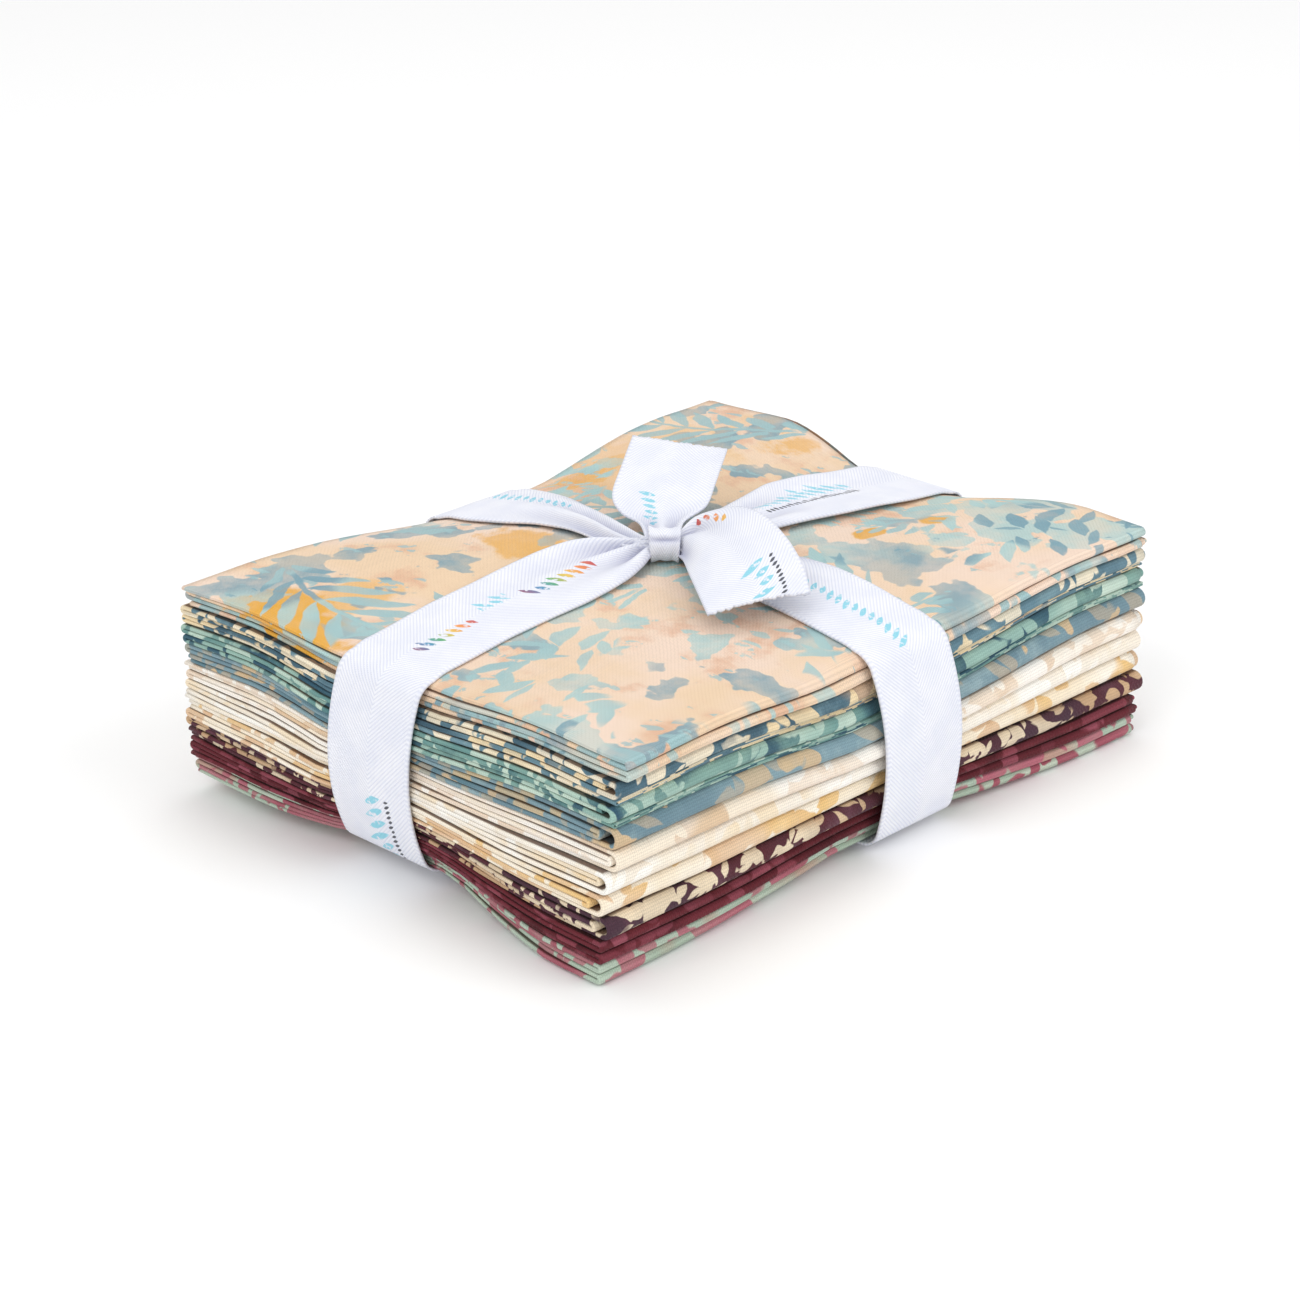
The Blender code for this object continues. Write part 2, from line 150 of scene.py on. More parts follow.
@dataclass(frozen=True)
class Relief:
    """The shape of the stack, which the ribbon presses in and draws in. Tables are in mm."""

    half_x: float = 70.0 * MM
    half_y: float = 54.0 * MM
    height: float = 41.6 * MM
    widest: float = 20.0 * MM
    rim_start: float = 30.0 * MM
    rim_fall: float = 0.6 * MM
    rim_round: float = 1.1 * MM
    curl: float = 3.2 * MM
    stations_x: tuple[float, ...] = (-70.0, -30.0, -13.5, 15.5, 32.0, 70.0)
    stations_y: tuple[float, ...] = (-54.0, -30.0, -12.5, 17.0, 32.0, 54.0)
    feet_x: tuple[float, ...] = (-57.0, -13.0, 15.0, 54.0)
    feet_y: tuple[float, ...] = (-40.0, -12.0, 14.0, 34.0)
    top_along_x: tuple[float, ...] = (3.4, 1.8, 1.4, 1.4, 1.6, 3.4)
    top_along_y: tuple[float, ...] = (4.6, 1.8, 1.4, 1.4, 1.6, 3.4)
    under_along_x: tuple[float, ...] = (4.2, 2.2, 2.0, 2.0, 2.1, 3.2)
    under_along_y: tuple[float, ...] = (2.0, 2.0, 2.0, 2.0, 2.0, 2.8)
    drawn_x: tuple[tuple[float, float], ...] = ((4.0, 4.2), (3.0, 3.0))
    drawn_y: tuple[tuple[float, float], ...] = ((4.6, 3.0), (3.0, 3.0))

    def share(self, place: np.ndarray, feet: tuple[float, ...]) -> np.ndarray:
        """1 in the strip under a ribbon, falling ever more slowly to 0 at its slopes' feet."""
        foot_low, edge_low, edge_high, foot_high = (station * MM for station in feet)
        rising = (place - foot_low) / (edge_low - foot_low)
        falling = (foot_high - place) / (foot_high - edge_high)
        return np.clip(np.minimum(rising, falling), 0.0, 1.0) ** 1.4

    def depth(self, place: np.ndarray, stations: tuple[float, ...], values: tuple[float, ...]) -> np.ndarray:
        """How deep a run presses in: the straight lines between its values, averaged over 12 mm."""
        near = np.linspace(-6.0, 6.0, 7) * MM
        each = [np.interp(place + step, np.array(stations) * MM, np.array(values) * MM) for step in near]
        return np.mean(each, axis=0)

    def larger(self, a: np.ndarray, b: np.ndarray) -> np.ndarray:
        """The larger of two depths, with the corner between them rounded off."""
        return (a + b + np.sqrt((a - b) ** 2 + (0.25 * MM) ** 2)) / 2

    def top(self, x: np.ndarray, y: np.ndarray) -> np.ndarray:
        """The stack's top: its height, less what the ribbon presses in, less the rims' fall."""
        strip_x, strip_y = self.share(x, self.feet_x), self.share(y, self.feet_y)
        pressed = self.larger(
            self.depth(x, self.stations_x, self.top_along_x) * strip_y,
            self.depth(y, self.stations_y, self.top_along_y) * strip_x,
        )
        rim_x = smooth_step((np.abs(x) - self.rim_start) / (self.half_x - self.rim_start))
        rim_y = smooth_step((np.abs(y) - self.rim_start) / (self.half_y - self.rim_start))
        round_x = smooth_step((np.abs(x) - self.half_x + 9 * MM) / (6 * MM)) * strip_y
        round_y = smooth_step((np.abs(y) - self.half_y + 9 * MM) / (6 * MM)) * strip_x
        return self.height - pressed - self.rim_fall * (rim_x + rim_y) - self.rim_round * (round_x + round_y)

    def under(self, x: np.ndarray, y: np.ndarray) -> np.ndarray:
        """The stack's underside: 0 at its pads, drawn up by the ribbon and at the -X, +Y corner."""
        drawn = self.larger(
            self.depth(x, self.stations_x, self.under_along_x) * self.share(y, self.feet_y),
            self.depth(y, self.stations_y, self.under_along_y) * self.share(x, self.feet_x),
        )
        corner = smooth_step((-x - 30 * MM) / (40 * MM)) * smooth_step((y + 12 * MM) / (26 * MM))
        return np.maximum(self.larger(drawn, self.curl * corner) - 0.12 * MM, 0.0)

    def drawn(
        self, sides: tuple[tuple[float, float], ...], positive: np.ndarray, height: np.ndarray
    ) -> np.ndarray:
        """How far the ribbon draws a side in: with the square of the way from its widest height.

        Args:
            sides: For the negative and the positive side, the most at its top and at its foot.
            positive: Whether each point is on the positive side.
            height: Each point's height in the flat stack.

        Returns:
            The distance at each point.
        """
        above = np.clip((height - self.widest) / (self.height - self.widest), 0.0, 1.0)
        below = np.clip((self.widest - height) / self.widest, 0.0, 1.0)
        at_top, at_foot = (np.where(positive, sides[1][i], sides[0][i]) * MM for i in (0, 1))
        return at_top * above**2 + at_foot * below**2

    def pulled(self, x: np.ndarray, y: np.ndarray, height: np.ndarray) -> tuple[np.ndarray, np.ndarray]:
        """x and y after the ribbon has drawn the stack's sides in, most at the rims."""
        rim_x = np.clip((np.abs(x) - self.rim_start) / (self.half_x - self.rim_start), 0.0, 1.0)
        rim_y = np.clip((np.abs(y) - self.rim_start) / (self.half_y - 4 * MM - self.rim_start), 0.0, 1.0)
        in_x = rim_x * self.share(y, self.feet_y) * self.drawn(self.drawn_x, x > 0, height)
        in_y = rim_y * self.share(x, self.feet_x) * self.drawn(self.drawn_y, y > 0, height)
        return x - np.sign(x) * in_x, y - np.sign(y) * in_y

    def warped(self, x: np.ndarray, y: np.ndarray, height: np.ndarray) -> np.ndarray:
        """A height in the flat stack, moved in proportion between the underside and the top."""
        low, high = self.under(x, y), self.top(x, y)
        return low + (high - low) * height / self.height


RELIEF = Relief()


@dataclass(frozen=True)
class Crease:
    """A soft trough or ridge in the top cloth, between two points. Its sizes are in mm."""

    first: tuple[float, float]
    last: tuple[float, float]
    width: float
    rise: float

    def height(self, x: np.ndarray, y: np.ndarray) -> np.ndarray:
        """Its rise: a bell of the distance from its line, falling to 0 at both its ends."""
        start, run = np.array(self.first) * MM, (np.array(self.last) - self.first) * MM
        length = math.hypot(*run)
        along = ((x - start[0]) * run[0] + (y - start[1]) * run[1]) / length
        off = ((y - start[1]) * run[0] - (x - start[0]) * run[1]) / length
        ends = smooth_step(along / (0.4 * length)) * smooth_step((length - along) / (0.4 * length))
        return self.rise * MM * ends * np.exp(-((off / (self.width * MM)) ** 2))


# The main creases of the top cloth, one after another round its quarters
CREASES = (
    Crease((25.9, -8.0), (24.8, -34.0), 3.0, -0.55),
    Crease((31.5, -8.0), (31.0, -36.0), 3.2, 0.45),
    Crease((43.0, -28.0), (38.0, -54.0), 3.0, -0.45),
    Crease((40.0, -12.0), (50.0, -34.0), 3.4, 0.40),
    Crease((-23.7, 44.0), (-22.5, 14.0), 3.2, -0.50),
    Crease((-62.0, 27.0), (-30.0, 35.0), 3.0, 0.40),
    Crease((-36.0, -13.0), (-10.0, -13.5), 2.2, -0.45),
    Crease((-12.0, -22.0), (-21.0, -52.0), 3.2, -0.50),
    Crease((-52.0, -16.0), (-26.0, -44.0), 3.8, 0.35),
    Crease((16.5, 50.0), (13.7, 20.0), 3.2, -0.45),
    Crease((64.0, 34.0), (52.0, 14.0), 3.4, -0.40),
)


class FoldKind(Enum):
    """How a cloth takes its four levels, 0 being the top one, and the side of its first end.

    The side is -1 for -Y and 1 for +Y. The cloth turns at the other side first.
    """

    BOOK = ((3, 0, 1, 2), 1)
    BOOK_OVER = ((0, 3, 2, 1), 1)
    ROLLED = ((1, 0, 2, 3), -1)
    ZIGZAG = ((0, 1, 2, 3), 1)


class Nodes:
    """The node tree of one material, and the one way in which nodes are added to it."""

    def __init__(self, name: str) -> None:
        """Starts an empty material of that name."""
        self.material = bpy.data.materials.new(name)
        self.material.use_nodes = True
        self.tree = self.material.node_tree
        self.tree.nodes.clear()

    def add(self, kind: str, settings: dict | None = None, inputs: dict | None = None) -> bpy.types.Node:
        """Adds a node.

        Args:
            kind: The node's type, such as ShaderNodeMath.
            settings: Its settings, which are set first. "stops" is a ramp's list of (place, colour).
            inputs: The value or the link of each socket, by its name or number.

        Returns:
            The node.
        """
        node = self.tree.nodes.new(kind)
        for key, value in (settings or {}).items():
            if key == "stops":
                ramp = node.color_ramp
                while len(ramp.elements) < len(value):
                    ramp.elements.new(0.5)
                for stop, (place, colour) in zip(ramp.elements, value):
                    stop.position = place
                    stop.color = (*colour, 1.0)
            else:
                setattr(node, key, value)
        for key, value in (inputs or {}).items():
            socket = node.inputs[key]
            if isinstance(value, Field):
                self.tree.links.new(value.socket, socket)
            elif isinstance(value, bpy.types.NodeSocket):
                self.tree.links.new(value, socket)
            else:
                socket.default_value = value
        return node

    def math(self, operation: str, *values: "Field | float") -> "Field":
        """One Math node on up to three values."""
        node = self.add("ShaderNodeMath", {"operation": operation}, dict(enumerate(values)))
        return Field(self, node.outputs[0])

    def blend(
        self, share: "Field | float", first: "Tint", second: "Tint", how: str = "MIX"
    ) -> bpy.types.NodeSocket:
        """A colour between two: the first where the share is 0, the second where it is 1."""
        node = self.add(
            "ShaderNodeMix",
            {"data_type": "RGBA", "blend_type": how},
            {0: share, 6: as_colour(first), 7: as_colour(second)},
        )
        return node.outputs[2]

    def vector(self, operation: str, *values: object) -> bpy.types.NodeSocket:
        """One Vector Math node on up to three vectors."""
        node = self.add("ShaderNodeVectorMath", {"operation": operation}, dict(enumerate(values)))
        return node.outputs[0]

    def noise(
        self, place: bpy.types.NodeSocket, scale: float, detail: float = 2.0, roughness: float = 0.5
    ) -> "Field":
        """Fractal noise, 0 to 1, at a scale in repeats for each metre."""
        node = self.add(
            "ShaderNodeTexNoise",
            {"noise_dimensions": "2D"},
            {"Vector": place, "Scale": scale, "Detail": detail, "Roughness": roughness},
        )
        return Field(self, node.outputs[0])

    def parts(self, vector: bpy.types.NodeSocket) -> tuple["Field", "Field", "Field"]:
        """The three numbers of a vector or a colour."""
        node = self.add("ShaderNodeSeparateXYZ", {}, {0: vector})
        return tuple(Field(self, output) for output in node.outputs)

    def joined(
        self, x: "Field | float", y: "Field | float", z: "Field | float" = 0.0
    ) -> bpy.types.NodeSocket:
        """A vector of three numbers."""
        return self.add("ShaderNodeCombineXYZ", {}, {0: x, 1: y, 2: z}).outputs[0]

    def scaled(self, vector: object, scale: float) -> bpy.types.NodeSocket:
        """A vector times a number."""
        return self.vector("MULTIPLY", vector, (scale, scale, scale))

    def turned(self, vector: object, angle: "Field | float") -> bpy.types.NodeSocket:
        """A vector turned about Z, by an angle in radians."""
        settings = {"rotation_type": "Z_AXIS"}
        return self.add("ShaderNodeVectorRotate", settings, {"Vector": vector, "Angle": angle}).outputs[0]

    def cells(
        self, place: object, evenness: float
    ) -> tuple[bpy.types.NodeSocket, tuple["Field", "Field", "Field"]]:
        """Cells about one point in each unit square.

        Args:
            place: The place, in cells.
            evenness: 1 for a square grid, 0 for points anywhere.

        Returns:
            The way from the cell's point to the place, and three random numbers of the cell.
        """
        node = self.add(
            "ShaderNodeTexVoronoi",
            {"voronoi_dimensions": "2D", "feature": "F1"},
            {"Vector": place, "Scale": 1.0, "Randomness": 1.0 - evenness},
        )
        return self.vector("SUBTRACT", place, node.outputs["Position"]), self.parts(node.outputs["Color"])

    def flat_place(self) -> bpy.types.NodeSocket:
        """The place on the flat cloth, in metres."""
        return self.add("ShaderNodeUVMap", {"uv_map": "cloth"}).outputs[0]

    def unshaded_share(self) -> "Field":
        """How little painted shade a point takes: 1 where it lies open to the light, and 0 where cloth lies
        on it and the painted shade is darkest.
        """
        return Field(self, self.add("ShaderNodeAttribute", {"attribute_name": "open"}).outputs["Fac"])

    def finish(self, shader: bpy.types.Node) -> bpy.types.Material:
        """Ends the material with its surface."""
        self.add("ShaderNodeOutputMaterial", {}, {"Surface": shader.outputs[0]})
        return self.material


@dataclass(frozen=True)
class Field:
    """A number that changes over a surface: a socket that takes part in Python expressions."""

    nodes: Nodes
    socket: bpy.types.NodeSocket

    def __add__(self, other: "Field | float") -> "Field":
        """The sum."""
        return self.nodes.math("ADD", self, other)

    __radd__ = __add__

    def __sub__(self, other: "Field | float") -> "Field":
        """The difference."""
        return self.nodes.math("SUBTRACT", self, other)

    def __rsub__(self, other: float) -> "Field":
        """The difference from a number."""
        return self.nodes.math("SUBTRACT", other, self)

    def __mul__(self, other: "Field | float") -> "Field":
        """The product."""
        return self.nodes.math("MULTIPLY", self, other)

    __rmul__ = __mul__

    def __truediv__(self, other: "Field | float") -> "Field":
        """The quotient."""
        return self.nodes.math("DIVIDE", self, other)

    def __abs__(self) -> "Field":
        """The size without its sign."""
        return self.nodes.math("ABSOLUTE", self)

    def __mod__(self, other: float) -> "Field":
        """What is left after whole steps, never below 0."""
        return self.nodes.math("FLOORED_MODULO", self, other)

    def least(self, other: "Field | float") -> "Field":
        """The smaller of two."""
        return self.nodes.math("MINIMUM", self, other)

    def most(self, other: "Field | float") -> "Field":
        """The larger of two."""
        return self.nodes.math("MAXIMUM", self, other)

    def sine(self) -> "Field":
        """The sine of an angle in radians."""
        return self.nodes.math("SINE", self)

    def floor(self) -> "Field":
        """The whole number below."""
        return self.nodes.math("FLOOR", self)

    def above(self, limit: "Field | float") -> "Field":
        """1 above the limit, otherwise 0."""
        return self.nodes.math("GREATER_THAN", self, limit)

    def ramp(self, low: float, high: float) -> "Field":
        """0 below low, 1 above high and smooth between them. It falls where low is above high."""
        swap = low > high
        node = self.nodes.add(
            "ShaderNodeMapRange",
            {"interpolation_type": "SMOOTHSTEP"},
            {
                "Value": self,
                "From Min": high if swap else low,
                "From Max": low if swap else high,
                "To Min": 1.0 if swap else 0.0,
                "To Max": 0.0 if swap else 1.0,
            },
        )
        return Field(self.nodes, node.outputs[0])


Tint = str | bpy.types.NodeSocket


def linear(tint: str) -> tuple[float, float, float]:
    """A colour written as six hex digits, as the linear numbers that a shader takes."""
    parts = [int(tint[i : i + 2], 16) / 255 for i in (0, 2, 4)]
    return tuple(c / 12.92 if c <= 0.04045 else ((c + 0.055) / 1.055) ** 2.4 for c in parts)


def as_colour(tint: Tint) -> object:
    """A socket's value or link from a tint."""
    return (*linear(tint), 1.0) if isinstance(tint, str) else tint


@dataclass(frozen=True)
class Spot:
    """An oval patch of dye on the top cloth, in mm of X and Y, and how strong it is."""

    x: float
    y: float
    reach_x: float
    reach_y: float
    strength: float = 1.0


@dataclass(frozen=True)
class Batik:
    """A batik cotton: a mottled dyed ground with leaves that wax kept lighter or darker.

    Sizes are in metres. fronds, leaves, blobs and dots are the strength of each motif, and
    leaf_keep is the share of single leaves that are there. warm and cool are patches of the
    accent and of the second leaf colour, for the cloth that lies open.
    """

    name: str
    ground: str
    ground_second: str
    stain: str
    leaf: str
    leaf_second: str
    accent: str
    seed: float
    accent_cover: float = 0.35
    frond_size: float = 46.0 * MM
    leaf_size: float = 5.2 * MM
    leaf_keep: float = 0.8
    blob_size: float = 9.0 * MM
    fronds: float = 0.0
    leaves: float = 1.0
    blobs: float = 1.0
    blob_cover: float = 0.42
    dots: float = 0.0
    contrast: float = 1.0
    thread: float = 0.45 * MM
    warm: tuple[Spot, ...] = ()
    cool: tuple[Spot, ...] = ()

    def frond(self, n: Nodes, place: bpy.types.NodeSocket, size: float, turn: float) -> Field:
        """Fronds of slim pointed leaves, one in each cell of a jittered grid.

        A frond is a bent stem with leaves on both sides. With s along the stem and t away from
        it, a leaf is where s - 0.9 t, counted in leaf spacings, is near a whole number. Its
        width is a parabola of t, and leaves get shorter towards both ends of the stem.

        Args:
            n: The material's nodes.
            place: The flat place.
            size: The size of a cell.
            turn: A turn that is added to every frond's own.

        Returns:
            1 on the fronds, and 0 off them.
        """
        away, (red, green, blue) = n.cells(n.scaled(place, 1.0 / size), 0.3)
        s, t, _ = n.parts(n.turned(away, red * (2 * math.pi) + turn))
        t = t - s * s * ((green - 0.5) * 2.2)
        side = t.above(0.0) - 0.5
        t = abs(t)
        spacing = 0.12
        along = (s - t * 0.9 + side * spacing) / spacing
        across = abs(along - along.floor() - 0.5)
        reach = (1 - s * s * 3.6) * (0.20 + 0.14 * blue)
        share = ((t - 0.012) / reach.most(0.01)).most(0.0)
        wide = share * (1 - share) * 1.35 + 0.03
        leaf = (wide - across).ramp(-0.02, 0.05) * (1 - share).above(0.0) * reach.above(0.03)
        stem = t.ramp(0.017, 0.009) * abs(s).ramp(0.47, 0.42)
        return leaf.most(stem)

    def leaf_group(self, n: Nodes, place: bpy.types.NodeSocket, size: float, angle: float) -> Field:
        """Single leaves that lie almost side by side, one in each cell of a stretched grid.

        The place is turned and squeezed along the leaves, so that cells are 2.2 times as long
        as they are wide. In a cell a leaf is tilted a little, and its half width at s along it
        is a parabola that reaches 0 at both tips.

        Args:
            n: The material's nodes.
            place: The flat place.
            size: The width of a cell.
            angle: The leaves' heading.

        Returns:
            1 on the leaves, and 0 off them.
        """
        ratio = 2.2
        squeezed = n.vector("MULTIPLY", n.turned(place, angle), (1 / (ratio * size), 1 / size, 1.0))
        away, (red, green, blue) = n.cells(squeezed, 0.15)
        stretched = n.vector("MULTIPLY", away, (ratio, 1.0, 1.0))
        s, t, _ = n.parts(n.turned(stretched, (red - 0.5) * 0.9))
        t = t - s * s * ((green - 0.5) * 0.5)
        length = 0.62 + 0.42 * green
        share = s / length
        half_width = (1 - share * share) * (0.17 + 0.20 * blue)
        leaf = (half_width - abs(t)).ramp(-0.02, 0.045)
        return leaf * ((red * 7.0) % 1.0).ramp(self.leaf_keep, self.leaf_keep - 0.01)

    def blob(self, n: Nodes, place: bpy.types.NodeSocket) -> Field:
        """Rounded patches: where smooth noise is above a limit, with a crisp edge."""
        cloud = n.noise(place, 1.0 / self.blob_size, 2.0)
        limit = 0.62 - 0.26 * self.blob_cover
        return cloud.ramp(limit, limit + 0.025)

    def patches(self, n: Nodes, spots: tuple[Spot, ...], uneven: Field) -> Field:
        """1 in named oval patches with ragged edges, by each point's distance in its oval."""
        place = n.add("ShaderNodeTexCoord").outputs["Object"]
        x, y, _ = n.parts(place)
        found = None
        for spot in spots:
            off_x = (x - spot.x * MM) / (spot.reach_x * MM)
            off_y = (y - spot.y * MM) / (spot.reach_y * MM)
            inside = (off_x * off_x + off_y * off_y + uneven).ramp(1.3, 0.5) * spot.strength
            found = inside if found is None else found.most(inside)
        return found

    def weave(self, n: Nodes, flat: bpy.types.NodeSocket) -> tuple[Field, Field]:
        """A plain weave of warp and weft, and the slubs of its threads, both about 0 to 1."""
        u, v, _ = n.parts(flat)
        warp_threads = (u * (math.pi / self.thread)).sine()
        weft_threads = (v * (math.pi / self.thread)).sine()
        over = (warp_threads * weft_threads).above(0.0)
        weave = over * abs(warp_threads) + (1 - over) * abs(weft_threads)
        along_weft = n.noise(n.joined(u * 60.0, v * 1500.0), 1.0, 2.0)
        along_warp = n.noise(n.joined(u * 1500.0, v * 60.0), 1.0, 2.0)
        return weave, (along_weft + along_warp) * 0.5

    def dyed(self, n: Nodes, shifted: bpy.types.NodeSocket) -> bpy.types.NodeSocket:
        """The dyes: a mottled ground, patches of the accent, and the leaves that wax kept.

        Args:
            n: The material's nodes.
            shifted: The flat place, shifted by the cloth's seed.

        Returns:
            The colour.
        """
        wobble = n.add(
            "ShaderNodeTexNoise",
            {"noise_dimensions": "2D"},
            {"Vector": shifted, "Scale": 160.0, "Detail": 2.0},
        )
        centred = n.vector("SUBTRACT", wobble.outputs["Color"], (0.5, 0.5, 0.5))
        place = n.vector("ADD", shifted, n.scaled(centred, 2.0 * MM))
        elsewhere = n.vector("ADD", place, (0.213, 0.127, 0.0))
        cloudy = n.noise(shifted, 24.0, 4.0, 0.6)
        regions = n.noise(elsewhere, 21.0, 3.0, 0.55)
        stains = n.noise(elsewhere, 70.0, 5.0, 0.62)
        ground = n.blend(cloudy.ramp(0.36, 0.64), self.ground, self.ground_second)
        ground = n.blend(stains.ramp(0.50, 0.72) * 0.8, ground, self.stain)
        if self.warm:
            accent = self.patches(n, self.warm, (regions - 0.5) * 4.0 + (stains - 0.5) * 5.0)
        else:
            accent = regions.ramp(0.68 - 0.3 * self.accent_cover, 0.76 - 0.3 * self.accent_cover)
        ground = n.blend(accent * (0.55 + 0.7 * stains).least(1.0), ground, self.accent)

        second = regions.ramp(0.44, 0.58)
        deep = stains.ramp(0.35, 0.65)
        leaf_ground = n.blend(second, self.leaf, self.leaf_second)
        if self.cool:
            cool = self.patches(n, self.cool, (regions - 0.5) * 7.0 + (cloudy - 0.5) * 4.0)
            second = (second * 0.35).most(cool)
            spread = n.noise(place, 78.0, 3.0)
            ragged = (cool * 0.13 + spread).ramp(0.555, 0.58)
            ground = n.blend(ragged * (0.5 + 0.4 * deep), ground, leaf_ground)
        leaf_tint = n.blend(second, self.leaf, self.leaf_second)

        mask = self.blob(n, place) * self.blobs
        here, there = regions.ramp(0.43, 0.45), regions.ramp(0.55, 0.53)
        crowded = cloudy.ramp(0.33, 0.38)
        size = self.leaf_size
        if self.leaves:
            first = self.leaf_group(n, place, size, 0.5) * here * crowded
            other = self.leaf_group(n, elsewhere, size * 0.8, -0.55) * there * crowded
            mask = mask.most(first.most(other) * self.leaves)
        if self.fronds:
            sparse = n.noise(place, 15.0, 1.0).ramp(0.455, 0.475)
            fronds = self.frond(n, place, self.frond_size, 0.0)
            mask = (mask * (1 - sparse)).most(fronds * sparse * self.fronds)
        if self.dots:
            dots = self.leaf_group(n, elsewhere, 3.2 * MM, 1.2) * stains.ramp(0.56, 0.58)
            mask = mask.most(dots * self.dots)
        dye = 0.80 + 0.20 * deep
        return n.blend(mask.least(1.0) * dye * self.contrast, ground, leaf_tint)

    def material(self) -> bpy.types.Material:
        """Builds the cotton: its dyes, painted shade where cloth lies on it, and its weave, with painted
        shade between its threads.

        Returns:
            The material.
        """
        n = Nodes(self.name)
        flat = n.flat_place()
        colour = self.dyed(n, n.vector("ADD", flat, (self.seed * 1.37, self.seed * 0.73, 0.0)))
        weave, slub = self.weave(n, flat)
        # painted shade in the gaps between threads, with the slubs' own uneven tone
        shade = 0.76 + 0.28 * weave + 0.12 * slub
        colour = n.blend(1.0, colour, n.joined(shade, shade, shade), "MULTIPLY")
        # painted shade: a brownish darkening where cloth lies on cloth, in the crevices between plies and
        # layers
        painted_shade_tint = n.blend(n.unshaded_share(), "8d7d76", "ffffff")
        colour = n.blend(1.0, colour, painted_shade_tint, "MULTIPLY")
        fuzz = n.noise(flat, 4200.0, 2.0)
        height = weave * 0.8 + slub * 0.6 + fuzz * 0.3
        bump = n.add("ShaderNodeBump", {}, {"Strength": 0.6, "Distance": 0.12 * MM, "Height": height})
        shader = n.add(
            "ShaderNodeBsdfPrincipled",
            {},
            {
                "Base Color": colour,
                "Roughness": 0.82 + 0.12 * fuzz,
                "Normal": bump.outputs[0],
                "Sheen Weight": 0.08,
                "Sheen Roughness": 0.4,
                "Specular IOR Level": 0.2,
            },
        )
        return n.finish(shader)


class Motif(Enum):
    """What a window of the ribbon's print shows: the leaf step, its height, and if seeds follow."""

    RAINBOW = (2.1, 4.2, False)
    SPRIG = (1.9, 4.2, False)
    BOLD_SPRIG = (2.5, 6.2, True)
    WARM = (1.9, 3.2, False)


@dataclass(frozen=True)
class Window:
    """One motif on the ribbon: where it begins and ends, and how far from the ribbon's middle."""

    motif: Motif
    start: float
    end: float
    across: float


